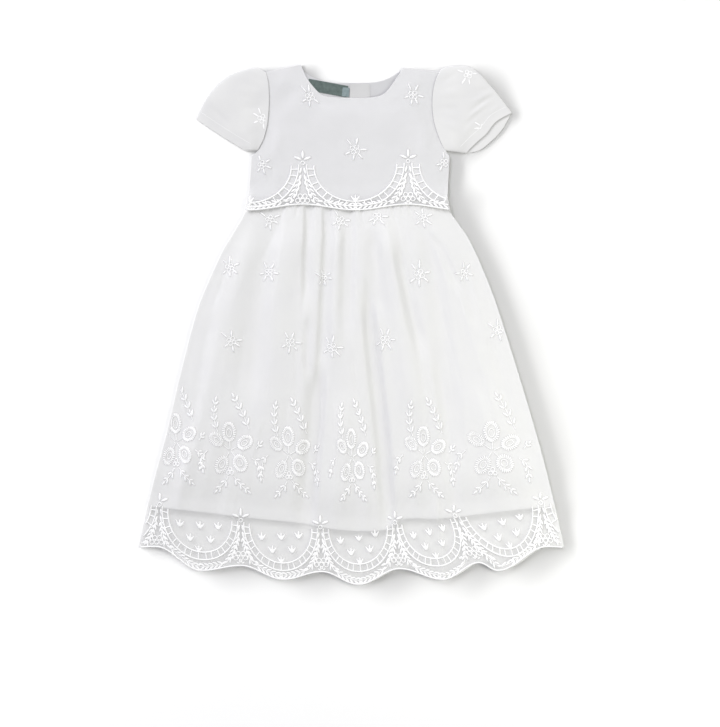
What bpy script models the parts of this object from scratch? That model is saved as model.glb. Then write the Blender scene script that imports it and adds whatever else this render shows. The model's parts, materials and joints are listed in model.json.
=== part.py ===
"""A baby's lace christening gown, laid flat with its front up and its neck towards +Y.

Every panel is a separate wall of cloth. The back panels lie flat on the surface. The satin
front and the skirt's satin lining lie on them, and embroidered organza lies over both.
Sizes are in millimetres until a mesh is made, and MM turns them into metres.
"""

import math

import bmesh
import bpy
from mathutils import Vector
from mathutils.geometry import delaunay_2d_cdt

COLLECTION = "lace_gown"
MM = 0.001

# Driving sizes, mm
WALL = 1.2
LAYER_GAP = 0.3
SEAM_GAP = 0.4
WAIST_Y = 142.6
LACE_REPEAT = 121.0
TRIM_THICKNESS = 0.8

# Heights of each layer's underside above the surface, mm
BACK_TOP = WALL
SIDE_SEAM_Z = BACK_TOP + LAYER_GAP
FRONT_RISE = 1.3
ORGANZA_LIFT = WALL + LAYER_GAP
WAIST_LAP_Z = 6.7

# The skirt's side edges: height on the gown, left edge and right edge
SKIRT_EDGE = (
    # y, left x, right x
    (142.6, -118.0, 110.0),
    (130.0, -121.3, 113.3),
    (103.5, -136.3, 131.7),
    (86.3, -146.6, 140.9),
    (51.8, -162.7, 155.8),
    (17.3, -176.5, 168.5),
    (-51.8, -194.9, 190.3),
    (-120.8, -211.0, 211.0),
    (-189.8, -229.4, 229.4),
    (-255.3, -244.4, 244.4),
    (-300.0, -252.0, 252.0),
)

# The scalloped hem, turn by turn: a notch or the lowest point of a scallop
HEM_TURNS = (
    # x, y
    (-252.0, -256.5),
    (-224.5, -255.3),
    (-172.0, -282.6),
    (-127.0, -277.0),
    (-78.0, -292.7),
    (-34.0, -284.0),
    (8.0, -298.5),
    (55.3, -280.6),
    (104.7, -292.7),
    (146.6, -273.7),
    (167.9, -282.6),
    (224.5, -255.3),
    (252.0, -256.5),
)
BACK_HEM_SHIFT = 6.0
BACK_HEM_SHORTER = 2.0

# The satin lining's lower edge, which shows through the organza
LINING_HEM = (
    # x, y
    (-252.0, -207.0),
    (-205.0, -211.0),
    (-119.0, -221.0),
    (-62.0, -227.0),
    (-13.0, -235.0),
    (38.0, -235.0),
    (59.0, -223.0),
    (102.0, -222.0),
    (205.0, -210.5),
    (252.0, -207.0),
)
ORGANZA_PAST_LINING = 4.0
ORGANZA_DROP_LENGTH = 26.0

# Bodice outlines
ARMHOLE_LEFT = (
    # x, y
    (-98.3, 290.4),
    (-96.0, 276.0),
    (-95.6, 257.0),
    (-97.2, 233.5),
    (-101.2, 215.1),
    (-106.5, 201.5),
    (-114.6, 193.5),
)
ARMHOLE_RIGHT = (
    (100.6, 290.4),
    (96.0, 277.0),
    (93.8, 257.0),
    (95.0, 238.0),
    (99.5, 220.0),
    (105.5, 205.0),
    (112.6, 193.5),
)
FRONT_NECK = (
    (-58.1, 299.0),
    (-50.0, 281.8),
    (-37.4, 266.8),
    (-28.2, 262.4),
    (-7.5, 261.0),
    (22.4, 261.4),
    (37.4, 265.7),
    (48.9, 279.5),
    (59.2, 294.8),
)
BACK_NECK = (
    (-58.1, 299.0),
    (-52.3, 289.5),
    (-37.4, 282.0),
    (-22.4, 278.6),
    (2.0, 277.8),
    (27.0, 278.8),
    (42.0, 283.0),
    (52.3, 289.0),
    (59.2, 294.8),
)
SIDE_LEFT_X = (-114.6, -118.0)
SIDE_RIGHT_X = (112.6, 110.0)
CENTRE_BACK_X = 10.3

# The organza front hangs over the waist seam, with a waved free edge
FREE_EDGE_Y = 134.3
FREE_EDGE_WAVE = 3.2
FREE_EDGE_LOW_X = 4.0
FREE_EDGE_LEFT_X = -121.5
FREE_EDGE_RIGHT_X = 113.5

# Sleeves: outer edge from shoulder to cuff, then the front and back cuff edges
SLEEVE_LEFT_TOP = (
    (-98.3, 290.4),
    (-111.0, 295.6),
    (-135.1, 289.5),
    (-152.4, 278.6),
    (-165.0, 263.8),
    (-173.1, 248.8),
    (-178.8, 236.9),
)
SLEEVE_LEFT_CUFF = ((-178.8, 236.9), (-150.0, 217.6), (-120.6, 199.6))
SLEEVE_RIGHT_TOP = (
    (100.6, 290.4),
    (105.2, 295.0),
    (116.7, 297.3),
    (134.0, 297.0),
    (146.0, 289.8),
    (159.3, 275.4),
    (171.9, 260.5),
    (184.2, 244.0),
)
SLEEVE_RIGHT_CUFF = ((184.2, 244.0), (166.0, 233.6), (155.0, 220.0), (142.0, 208.4), (131.5, 197.5))
SLEEVE_RIGHT_CUFF_BACK = ((184.2, 244.0), (171.9, 223.1), (157.0, 208.2), (146.0, 200.6), (131.5, 197.5))
SLEEVE_HEIGHT = 6.2
CUFF_HEIGHT = 5.2
SLEEVE_EDGE_POWER = 4

# Label, size tab and the strip of the back opening, seen inside the neck
LABEL = {"x": -34.5, "y": 271.4, "width": 37.0, "height": 12.5, "turn": -10.0}
SIZE_TAB = {"x": -9.0, "y": 268.6, "width": 9.5, "height": 11.0, "turn": -6.0}
PLACKET_LEFT_X = -1.7
PLACKET_RIGHT_X = 22.4
PLACKET_INSET = 1.0

# Skirt folds, from the waist down. x is across the skirt, from -1 at its left edge to 1 at its
# right edge; a height above 0 is a ridge and one below 0 is a trough, in mm.
FOLDS = (
    # top y, low y, x at top, x halfway, x at bottom, half width at top and bottom, height
    (150.0, -115.0, -0.86, -0.68, -0.72, 7.0, 15.0, -2.2),
    (160.0, 10.0, -0.44, -0.34, -0.27, 4.5, 9.0, -2.8),
    (160.0, -100.0, -0.25, -0.18, -0.20, 4.5, 9.0, -2.8),
    (-60.0, -260.0, -0.20, -0.25, -0.28, 12.0, 20.0, -3.0),
    (160.0, -5.0, 0.03, 0.01, -0.03, 5.0, 10.0, -3.0),
    (50.0, -260.0, 0.09, 0.11, 0.12, 8.0, 17.0, -3.0),
    (110.0, -40.0, 0.37, 0.41, 0.46, 6.0, 10.0, -2.4),
    (140.0, -200.0, 0.68, 0.59, 0.53, 6.0, 13.0, -2.2),
    (105.0, 35.0, 0.73, 0.75, 0.78, 6.0, 8.0, -1.2),
    (140.0, -150.0, 0.30, 0.34, 0.36, 13.0, 24.0, 3.0),
    (130.0, -160.0, -0.52, -0.45, -0.46, 18.0, 32.0, 1.4),
    (130.0, -60.0, -0.10, -0.08, -0.10, 6.0, 12.0, 1.6),
    (-70.0, -310.0, -0.02, -0.04, -0.05, 16.0, 24.0, 2.2),
    (-60.0, -290.0, 0.74, 0.74, 0.72, 22.0, 28.0, 1.6),
    (-190.0, -320.0, 0.43, 0.43, 0.44, 6.0, 10.0, 3.4),
)

# Short gathers below the waist seam: across as above, depth and length, mm
GATHERS = (
    (-0.90, 0.7, 16.0),
    (-0.77, 1.1, 28.0),
    (-0.64, 1.2, 30.0),
    (-0.50, 1.0, 24.0),
    (-0.34, 0.9, 20.0),
    (-0.18, 1.2, 36.0),
    (0.13, 1.1, 38.0),
    (0.24, 0.7, 20.0),
    (0.44, 1.2, 36.0),
    (0.53, 1.0, 26.0),
    (0.61, 1.0, 30.0),
    (0.73, 1.1, 24.0),
    (0.80, 0.8, 20.0),
    (0.91, 0.7, 16.0),
)
GATHER_HALF_WIDTH = 4.0
SKIRT_PUFF = 3.2
WAIST_PUFF = 1.9
HIGHEST_FOLD = 6.4
FOLD_IN_LINING = 0.5
FOLD_IN_HEM = 0.5

# Mesh counts
SKIRT_COLUMNS = 64
SKIRT_ROWS = 11
HEM_ROWS = 4
BODICE_LATTICE = 13.0
SLEEVE_RINGS = 8
ARMHOLE_SHARES = (0.0, 0.012, 0.04, 0.1, 0.2, 0.32, 0.44, 0.56, 0.68, 0.8, 0.9, 0.96, 0.988, 1.0)
CURVE_STEPS = 3
WAIST_STEPS = 18


def smoothstep(value):
    """0 below 0, 1 above 1 and a soft step between."""
    value = min(max(value, 0.0), 1.0)
    return value * value * (3 - 2 * value)


def smooth_value(table, place, column):
    """The value in a column at a place, on a smooth curve through the table's rows."""
    rows = sorted(table)
    place = min(max(place, rows[0][0]), rows[-1][0])
    last = len(rows) - 1
    after = next(i for i in range(1, last + 1) if place <= rows[i][0])
    before = after - 1

    def slope(i):
        low = rows[max(i - 1, 0)]
        high = rows[min(i + 1, last)]
        return (high[column] - low[column]) / (high[0] - low[0])

    span = rows[after][0] - rows[before][0]
    t = (place - rows[before][0]) / span
    return (
        (2 * t**3 - 3 * t**2 + 1) * rows[before][column]
        + (t**3 - 2 * t**2 + t) * span * slope(before)
        + (3 * t**2 - 2 * t**3) * rows[after][column]
        + (t**3 - t**2) * span * slope(after)
    )


def smooth_path(points, steps):
    """The points of a smooth curve through the given ones, with some steps between each two."""
    knots = [Vector((*point, 0)).xy for point in points]
    path = []
    for i in range(len(knots) - 1):
        start = knots[max(i - 1, 0)]
        end = knots[min(i + 2, len(knots) - 1)]
        for step in range(steps):
            t = step / steps
            a = -0.5 * t**3 + t**2 - 0.5 * t
            b = 1.5 * t**3 - 2.5 * t**2 + 1
            c = -1.5 * t**3 + 2 * t**2 + 0.5 * t
            d = 0.5 * t**3 - 0.5 * t**2
            path.append(a * start + b * knots[i] + c * knots[i + 1] + d * end)
    path.append(knots[-1])
    return path


def point_on(path, share):
    """The point at a share of the path's length."""
    lengths = [(path[i + 1] - path[i]).length for i in range(len(path) - 1)]
    left = share * sum(lengths)
    for i, length in enumerate(lengths):
        if left <= length:
            return path[i].lerp(path[i + 1], left / length)
        left -= length
    return path[-1].copy()


def armhole_path(armhole):
    """The armhole's points, which the bodice and the sleeve share."""
    path = smooth_path(armhole, 2 * CURVE_STEPS)
    return [point_on(path, share) for share in ARMHOLE_SHARES]


def share_point(hole, share):
    """The point at a share of an armhole's length, between the points of armhole_path."""
    after = next(i for i in range(1, len(hole)) if share <= ARMHOLE_SHARES[i])
    low, high = ARMHOLE_SHARES[after - 1], ARMHOLE_SHARES[after]
    return hole[after - 1].lerp(hole[after], (share - low) / (high - low))


def shifted(path, by):
    return [point + Vector((by, 0)) for point in path]


def hem_y(x):
    """The height of the scalloped hem, which turns softly at each notch and scallop."""
    x = min(max(x, HEM_TURNS[0][0]), HEM_TURNS[-1][0])
    after = next(i for i in range(1, len(HEM_TURNS)) if x <= HEM_TURNS[i][0])
    (x0, y0), (x1, y1) = HEM_TURNS[after - 1], HEM_TURNS[after]
    t = (x - x0) / (x1 - x0)
    return y0 + (y1 - y0) * (1 - math.cos(math.pi * t)) / 2


def skirt_x(across, y):
    """The x of a place across the skirt, -1 to 1, at a height on the gown."""
    left = smooth_value(SKIRT_EDGE, y, 1)
    right = smooth_value(SKIRT_EDGE, y, 2)
    return (left + right) / 2 + across * (right - left) / 2


def skirt_half_width(y):
    """Half the skirt's width at a height on the gown."""
    return (smooth_value(SKIRT_EDGE, y, 2) - smooth_value(SKIRT_EDGE, y, 1)) / 2


def edge_y(across, edge):
    """The height where a line down the skirt meets an edge that is given by its y at each x."""
    y = edge(skirt_x(across, -250.0))
    for _ in range(4):
        y = edge(skirt_x(across, y))
    return y


def bump(distance):
    """A soft bump, 1 at 0 and 0 from a distance of 1."""
    if abs(distance) >= 1:
        return 0.0
    return (1 + math.cos(math.pi * distance)) / 2


def fold_height(across, y):
    """How far the folded cloth stands above the level where it would lie flat."""
    half = skirt_half_width(y)
    down = smoothstep((WAIST_Y - y) / 60)
    puff = WAIST_PUFF + (SKIRT_PUFF - WAIST_PUFF) * down
    height = puff * smoothstep((1 - abs(across)) * half / 22)
    for top, low, x_top, x_mid, x_low, w_top, w_low, rise in FOLDS:
        t = (top - y) / (top - low)
        if not 0 < t < 1:
            continue
        middle = x_top * (1 - t) * (1 - 2 * t) + x_mid * 4 * t * (1 - t) + x_low * t * (2 * t - 1)
        width = w_top + (w_low - w_top) * t
        ends = smoothstep(t / 0.2) * smoothstep((1 - t) / 0.3)
        height += rise * ends * bump((across - middle) * half / width)
    for middle, depth, length in GATHERS:
        fade = 1 - smoothstep((WAIST_Y - y) / length)
        height -= depth * fade * bump((across - middle) * half / GATHER_HALF_WIDTH)
    return min(max(height, 0.0), HIGHEST_FOLD)


def lining_z(across, y):
    """The underside of the skirt's lining."""
    return SIDE_SEAM_Z + FOLD_IN_LINING * fold_height(across, y)


def skirt_organza_z(across, y):
    """The underside of the skirt's organza, which drops onto the back past the lining's hem."""
    past = smooth_value(LINING_HEM, skirt_x(across, y), 1) - ORGANZA_PAST_LINING - y
    drop = smoothstep(past / ORGANZA_DROP_LENGTH)
    folds = fold_height(across, y)
    high = SIDE_SEAM_Z + ORGANZA_LIFT + folds
    low = SIDE_SEAM_Z + LAYER_GAP + FOLD_IN_HEM * folds
    return high + (low - high) * drop


def front_z(x, y):
    """The underside of the satin front: low at the side and shoulder seams."""
    middle = (SIDE_LEFT_X[0] + SIDE_RIGHT_X[0]) / 2
    half = 96 if y > 215 else 113
    from_side = smoothstep((half - abs(x - middle)) / 24)
    from_shoulder = smoothstep((295 - y) / 16)
    return SIDE_SEAM_Z + FRONT_RISE * from_side * from_shoulder


def front_organza_z(x, y):
    """The underside of the organza front, which rises over the gathered skirt at the waist."""
    flat = front_z(x, y) + ORGANZA_LIFT
    return flat + (WAIST_LAP_Z - flat) * smoothstep((WAIST_Y + 20 - y) / 18)


def cloth_material(name, colour, roughness):
    material = bpy.data.materials.new(name)
    material.use_nodes = True
    shader = material.node_tree.nodes["Principled BSDF"]
    shader.inputs["Base Color"].default_value = (*colour, 1)
    shader.inputs["Roughness"].default_value = roughness
    shader.inputs["Metallic"].default_value = 0.0
    return material


def add_object(name, data, colour, roughness):
    piece = bpy.data.objects.new(name, data)
    data.materials.append(cloth_material(name, colour, roughness))
    bpy.data.collections[COLLECTION].objects.link(piece)
    return piece


def add_wall(piece):
    """Gives an open sheet its thickness, above it."""
    wall = piece.modifiers.new("wall", "SOLIDIFY")
    wall.thickness = WALL * MM
    wall.offset = 1


def flat_panel(name, outline, bottom, thickness, colour):
    """A flat panel from a closed outline, lying at a height."""
    data = bpy.data.curves.new(name, "CURVE")
    data.dimensions = "2D"
    data.fill_mode = "BOTH"
    data.extrude = thickness / 2 * MM
    spline = data.splines.new("POLY")
    spline.points.add(len(outline) - 1)
    for point, place in zip(spline.points, outline):
        point.co = (place[0] * MM, place[1] * MM, 0, 1)
    spline.use_cyclic_u = True
    piece = add_object(name, data, colour, 0.6)
    piece.location.z = (bottom + thickness / 2) * MM
    return piece


def draped_panel(name, outline, height, colour):
    """A wall of cloth over an outline, lifted to a height at each of its lattice points."""
    points = [Vector(place).xy for place in outline]
    edges = [(i, (i + 1) % len(points)) for i in range(len(points))]
    inside = []
    left = min(point.x for point in points)
    right = max(point.x for point in points)
    low = min(point.y for point in points)
    high = max(point.y for point in points)
    columns = round((right - left) / BODICE_LATTICE)
    rows = round((high - low) / BODICE_LATTICE)
    for column in range(1, columns):
        for row in range(1, rows):
            place = Vector((left + (right - left) * column / columns, low + (high - low) * row / rows))
            if min((place - point).length for point in points) > BODICE_LATTICE * 0.45:
                inside.append(place)
    cut = delaunay_2d_cdt(points + inside, edges, [], 1, 1e-6)
    data = bpy.data.meshes.new(name)
    data.from_pydata([(p.x * MM, p.y * MM, height(p.x, p.y) * MM) for p in cut[0]], [], cut[2])
    if data.polygons[0].normal.z < 0:
        data.flip_normals()
    data.shade_smooth()
    piece = add_object(name, data, colour, 0.5)
    add_wall(piece)
    return piece


def skirt_panel(name, row_heights, height, colour):
    """A wall of gathered cloth: columns down the skirt, each with its own rows."""
    rows = len(row_heights(0.0))
    sheet = bmesh.new()
    bmesh.ops.create_grid(sheet, x_segments=SKIRT_COLUMNS, y_segments=rows - 1, size=1)
    sheet.verts.ensure_lookup_table()
    for vertex in sheet.verts:
        across = vertex.co.x
        row = round((1 - vertex.co.y) / 2 * (rows - 1))
        y = row_heights(across)[row]
        vertex.co = (skirt_x(across, y) * MM, y * MM, height(across, y) * MM)
    data = bpy.data.meshes.new(name)
    sheet.to_mesh(data)
    sheet.free()
    data.shade_smooth()
    piece = add_object(name, data, colour, 0.5)
    add_wall(piece)
    return piece


def lining_rows(across):
    """The heights of the lining's rows, closer together near the waist."""
    low = edge_y(across, lambda x: smooth_value(LINING_HEM, x, 1))
    top = WAIST_Y - SEAM_GAP / 2
    return [top + (low - top) * (row / SKIRT_ROWS) ** 1.2 for row in range(SKIRT_ROWS + 1)]


def organza_rows(across):
    """The organza's rows: the lining's, a little past its hem, then the rows of the hem."""
    upper = lining_rows(across)
    start = upper[-1] - ORGANZA_PAST_LINING
    low = edge_y(across, hem_y)
    return upper[:-1] + [start + (low - start) * row / HEM_ROWS for row in range(HEM_ROWS + 1)]


def sleeve_tube(name, armhole, top, cuff_front, cuff_back, colour):
    """A puff sleeve pressed flat: an outer and an inner skin, open at the armhole and the cuff."""
    outward = 1 if top[-1][0] > 0 else -1
    hole = shifted(armhole_path(armhole), outward * SEAM_GAP)
    upper = smooth_path([tuple(hole[0]), *top[1:]], CURVE_STEPS)
    fronts = smooth_path(cuff_front, CURVE_STEPS)
    backs = smooth_path(cuff_back, CURVE_STEPS)
    under = [hole[-1], Vector(cuff_front[-1])]

    def place(ring, share, cuff):
        """A point of the patch that the armhole, the cuff and the two long edges bound."""
        across = share_point(hole, share).lerp(point_on(cuff, share), ring)
        along = point_on(upper, ring).lerp(point_on(under, ring), share)
        corner_in = hole[0].lerp(hole[-1], share)
        corner_out = cuff[0].lerp(cuff[-1], share)
        return across + along - corner_in.lerp(corner_out, ring)

    def arch(ring, share):
        """The height of the sleeve's front above the surface, lower towards the cuff."""
        rise = SLEEVE_HEIGHT + (CUFF_HEIGHT - SLEEVE_HEIGHT) * smoothstep((ring - 0.6) / 0.4)
        return rise * (1 - abs(2 * share - 1) ** SLEEVE_EDGE_POWER) ** (1 / SLEEVE_EDGE_POWER)

    sheet = bmesh.new()

    def corner(ring, share, cuff, z):
        spot = place(ring, share, cuff)
        return sheet.verts.new((spot.x * MM, spot.y * MM, z * MM))

    outer, inner = [], []
    for index in range(SLEEVE_RINGS + 1):
        ring = index / SLEEVE_RINGS
        edge = WALL / (place(ring, 0, fronts) - place(ring, 1, fronts)).length
        inset = [edge + share * (1 - 2 * edge) for share in ARMHOLE_SHARES]
        front = [corner(ring, s, fronts, arch(ring, s)) for s in ARMHOLE_SHARES[:-1]]
        back = [corner(ring, s, backs, 0) for s in reversed(ARMHOLE_SHARES[1:])]
        outer.append(front + back)
        front = [corner(ring, s, fronts, arch(ring, s) - WALL) for s in inset[:-1]]
        back = [corner(ring, s, backs, WALL) for s in reversed(inset[1:])]
        inner.append(front + back)
    count = len(outer[0])
    for i in range(count):
        after = (i + 1) % count
        for near, far in zip(outer, outer[1:]):
            sheet.faces.new((near[i], near[after], far[after], far[i]))
        for near, far in zip(inner, inner[1:]):
            sheet.faces.new((near[i], far[i], far[after], near[after]))
        sheet.faces.new((outer[0][i], inner[0][i], inner[0][after], outer[0][after]))
        sheet.faces.new((outer[-1][i], outer[-1][after], inner[-1][after], inner[-1][i]))
    bmesh.ops.recalc_face_normals(sheet, faces=sheet.faces)
    data = bpy.data.meshes.new(name)
    sheet.to_mesh(data)
    sheet.free()
    data.shade_smooth()
    return add_object(name, data, colour, 0.5)


def bodice_outline(neck):
    """The outline of a bodice panel, from the left waist corner round by the neck."""
    left = armhole_path(ARMHOLE_LEFT)
    right = armhole_path(ARMHOLE_RIGHT)
    low = WAIST_Y + SEAM_GAP / 2
    start = Vector((SIDE_LEFT_X[1], low))
    end = Vector((SIDE_RIGHT_X[1], low))
    waist = [end.lerp(start, step / WAIST_STEPS) for step in range(1, WAIST_STEPS)]
    return [start, *reversed(left), *smooth_path(neck, CURVE_STEPS), *right, end, *waist]


def half_outline(outline, left_half):
    """The part of an outline to one side of the centre back, closed by a straight cut."""
    edge = CENTRE_BACK_X - SEAM_GAP / 2 if left_half else CENTRE_BACK_X + SEAM_GAP / 2
    kept = []
    for here, after in zip(outline, outline[1:] + outline[:1]):
        if (here.x < edge) == left_half:
            kept.append(here)
        if (here.x < edge) != (after.x < edge):
            kept.append(here.lerp(after, (edge - here.x) / (after.x - here.x)))
    return kept


def build_back():
    """Two bodice backs, the skirt's back and the strip inside the back opening."""
    outline = bodice_outline(BACK_NECK)
    flat_panel("bodice_back_left", half_outline(outline, True), 0, WALL, (0.72, 0.72, 0.74))
    flat_panel("bodice_back_right", half_outline(outline, False), 0, WALL, (0.70, 0.70, 0.72))
    top = WAIST_Y - SEAM_GAP / 2
    steps = 60
    back = [Vector((skirt_x(-1, top), top))]
    side_rows = [100.0, 60.0, 20.0, -30.0, -80.0, -130.0, -180.0, -225.0]
    back += [Vector((skirt_x(-1, y), y)) for y in side_rows]
    for step in range(steps + 1):
        across = -1 + 2 * step / steps
        y = edge_y(across, lambda x: hem_y(x - BACK_HEM_SHIFT) + BACK_HEM_SHORTER)
        back.append(Vector((skirt_x(across, y), y)))
    back += [Vector((skirt_x(1, y), y)) for y in reversed(side_rows)]
    back.append(Vector((skirt_x(1, top), top)))
    flat_panel("skirt_back", back, 0, WALL, (0.75, 0.75, 0.75))
    neck_y = min(y for _, y in BACK_NECK) - PLACKET_INSET
    low = WAIST_Y + PLACKET_INSET
    strip = [(PLACKET_LEFT_X, low), (PLACKET_RIGHT_X, low), (PLACKET_RIGHT_X, neck_y), (PLACKET_LEFT_X, neck_y)]
    flat_panel("back_placket", strip, SIDE_SEAM_Z, TRIM_THICKNESS, (0.80, 0.80, 0.80))


def build_label(name, size, colour):
    """A small flat label, turned a little, on the inside of the back."""
    turn = math.radians(size["turn"])
    corners = []
    for sx, sy in ((-1, -1), (1, -1), (1, 1), (-1, 1)):
        x, y = sx * size["width"] / 2, sy * size["height"] / 2
        turned = (x * math.cos(turn) - y * math.sin(turn), x * math.sin(turn) + y * math.cos(turn))
        corners.append((size["x"] + turned[0], size["y"] + turned[1]))
    flat_panel(name, corners, SIDE_SEAM_Z, TRIM_THICKNESS, colour)


def build_front():
    """The satin front of the bodice and the organza over it."""
    outline = bodice_outline(FRONT_NECK)
    draped_panel("bodice_front", outline, front_z, (0.78, 0.78, 0.80))
    low = []
    steps = 24
    for step in range(steps + 1):
        x = FREE_EDGE_RIGHT_X + (FREE_EDGE_LEFT_X - FREE_EDGE_RIGHT_X) * step / steps
        wave = math.cos(2 * math.pi * (x - FREE_EDGE_LOW_X) / LACE_REPEAT)
        low.append(Vector((x, FREE_EDGE_Y - FREE_EDGE_WAVE * wave)))
    draped_panel("bodice_overlay", outline[1:-WAIST_STEPS] + low, front_organza_z, (0.84, 0.84, 0.85))


def build_skirt():
    """The skirt's satin lining and the gathered, scalloped organza over it."""
    skirt_panel("skirt_lining", lining_rows, lining_z, (0.80, 0.80, 0.79))
    skirt_panel("skirt_overlay", organza_rows, skirt_organza_z, (0.86, 0.86, 0.86))


def build_sleeves():
    sleeve_tube(
        "sleeve_left", ARMHOLE_LEFT, SLEEVE_LEFT_TOP, SLEEVE_LEFT_CUFF, SLEEVE_LEFT_CUFF, (0.80, 0.80, 0.83)
    )
    sleeve_tube(
        "sleeve_right",
        ARMHOLE_RIGHT,
        SLEEVE_RIGHT_TOP,
        SLEEVE_RIGHT_CUFF,
        SLEEVE_RIGHT_CUFF_BACK,
        (0.82, 0.82, 0.82),
    )


def main():
    for leftover in list(bpy.data.objects):
        bpy.data.objects.remove(leftover)
    bpy.context.scene.collection.children.link(bpy.data.collections.new(COLLECTION))
    build_back()
    build_label("neck_label", LABEL, (0.30, 0.38, 0.40))
    build_label("size_tab", SIZE_TAB, (0.70, 0.72, 0.72))
    build_front()
    build_skirt()
    build_sleeves()


main()
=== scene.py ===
"""The looks of a baby's lace christening gown, laid flat with its front up.

The cloth is made as thin shells on the solids of the frame. The embroidery is charted stitch by
stitch in plan, and Geometry Nodes lay it on the cloth. Sizes in tables are millimetres.
"""

import itertools
import json
import math

import bmesh
import bpy
import numpy as np
from bpy.props import FloatProperty, FloatVectorProperty, IntProperty, PointerProperty
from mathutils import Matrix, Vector
from mathutils.geometry import delaunay_2d_cdt

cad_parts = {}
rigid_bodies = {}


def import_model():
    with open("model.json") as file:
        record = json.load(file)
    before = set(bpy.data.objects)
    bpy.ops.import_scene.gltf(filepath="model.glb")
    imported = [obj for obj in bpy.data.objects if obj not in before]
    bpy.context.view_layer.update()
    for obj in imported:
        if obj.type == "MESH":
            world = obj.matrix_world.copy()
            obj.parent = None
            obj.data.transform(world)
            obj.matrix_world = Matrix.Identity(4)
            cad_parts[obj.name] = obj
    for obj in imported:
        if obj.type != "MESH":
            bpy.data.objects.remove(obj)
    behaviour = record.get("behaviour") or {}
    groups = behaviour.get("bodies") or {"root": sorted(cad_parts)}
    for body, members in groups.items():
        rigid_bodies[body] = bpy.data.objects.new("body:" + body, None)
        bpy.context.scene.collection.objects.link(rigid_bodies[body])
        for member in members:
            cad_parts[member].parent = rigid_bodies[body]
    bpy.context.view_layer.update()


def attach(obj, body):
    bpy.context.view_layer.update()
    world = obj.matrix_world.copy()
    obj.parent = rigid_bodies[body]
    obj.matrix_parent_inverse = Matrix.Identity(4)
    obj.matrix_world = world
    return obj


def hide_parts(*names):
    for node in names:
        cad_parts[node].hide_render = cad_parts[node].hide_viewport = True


bl_info = {
    "name": "Lace gown",
    "version": (1, 0, 0),
    "blender": (4, 5, 0),
    "location": "3D View > Sidebar > Gown",
    "description": "Builds a baby's gown of satin and embroidered organza, laid flat",
    "category": "Add Mesh",
}

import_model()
BODY = "root"
MM = 0.001

# The picture: camera height and target, mm
PHOTO_LENS = 85.0
SENSOR = 36.0
CAMERA_HEIGHT = 1974.0
CAMERA_X = 9.8
CAMERA_Y = -44.3

# Layers, mm above the surface
BACK_TOP = 1.2
LAYER_GAP = 0.3
SIDE_SEAM_Z = BACK_TOP + LAYER_GAP
FRONT_LOW = 2.1
ORGANZA_LIFT = 1.5
WAIST_LAP_Z = 6.4
BACK_SKIRT_Z = 0.75
BACK_BODICE_Z = 0.65
SHELL_UNDER = 0.1

# Heights on the gown and sizes, mm. Points of an outline closer than SAME_POINT count as one.
WAIST_Y = 142.6
UNDERARM_Y = 193.5
LACE_REPEAT = 121.0
BACK_SKIRT_THICKNESS = 0.65
BACK_BODICE_THICKNESS = 0.55
SAME_POINT = 0.4
SHARP_ANGLE = math.radians(55)

# The skirt's side edges: height on the gown, left edge and right edge
SKIRT_EDGE = np.array((
    (-300, -252, 252), (-255.3, -244.4, 244.4), (-189.8, -229.4, 229.4), (-120.8, -211, 211),
    (-51.8, -194.9, 190.3), (17.3, -176.5, 168.5), (51.8, -162.7, 155.8), (86.3, -146.6, 140.9),
    (103.5, -136.3, 131.7), (130, -121.3, 113.3), (142.6, -118, 110),
))

# The scalloped hem, turn by turn: x, y of each notch and each scallop's lowest point
HEM_TURNS = np.array((
    (-252, -256.5), (-224.5, -255.3), (-172, -282.6), (-127, -277), (-78, -292.7), (-34, -284),
    (8, -298.5), (55.3, -280.6), (104.7, -292.7), (146.6, -273.7), (167.9, -282.6), (224.5, -255.3),
    (252, -256.5),
))
BACK_HEM_SHIFT = 6.0
BACK_HEM_SHORTER = 2.0

# The satin lining's lower edge: x, y
LINING_HEM = np.array((
    (-252, -207), (-205, -211), (-119, -221), (-62, -227), (-13, -235), (38, -235), (59, -223),
    (102, -222), (205, -210.5), (252, -207),
))
ORGANZA_PAST_LINING = 4.0
EDGE_GUESS_Y = -250.0
ROW_CROWDING = 1.15
DROP_START = 52.0
DROP_LENGTH = 66.0
LINING_TURN_UP = 17.0
TURN_UP_RISE = 1.1
TURN_UP_FALL = 8.0

# Bodice outlines: x, y
ARMHOLE_LEFT = (
    (-98.3, 290.4), (-96, 276), (-95.6, 257), (-97.2, 233.5), (-101.2, 215.1), (-106.5, 201.5),
    (-114.6, 193.5),
)
ARMHOLE_RIGHT = (
    (100.6, 290.4), (96, 277), (93.8, 257), (95, 238), (99.5, 220), (105.5, 205), (112.6, 193.5),
)
FRONT_NECK = (
    (-58.1, 299), (-50, 281.8), (-37.4, 266.8), (-28.2, 262.4), (-7.5, 261), (22.4, 261.4), (37.4, 265.7),
    (48.9, 279.5), (59.2, 294.8),
)
BACK_NECK = (
    (-58.1, 299), (-52.3, 289.5), (-37.4, 282), (-22.4, 278.6), (2, 277.8), (27, 278.8), (42, 283),
    (52.3, 289), (59.2, 294.8),
)
SIDE_LEFT_X = (-114.6, -118.0)
SIDE_RIGHT_X = (112.6, 110.0)
CENTRE_BACK_X = 10.3

# The front's rise between its seams, its lap over the waist, and its free lower edge
FRONT_RISE = 1.9
FRONT_SLOPE = 24.0
FRONT_TOP_Y = 297.0
LAP_START = 20.0
LAP_LENGTH = 18.0
FREE_EDGE_Y = 134.3
FREE_EDGE_WAVE = 3.2
FREE_EDGE_LOW_X = 4.0
FREE_EDGE_LEFT_X = -121.5
FREE_EDGE_RIGHT_X = 113.5

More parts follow.
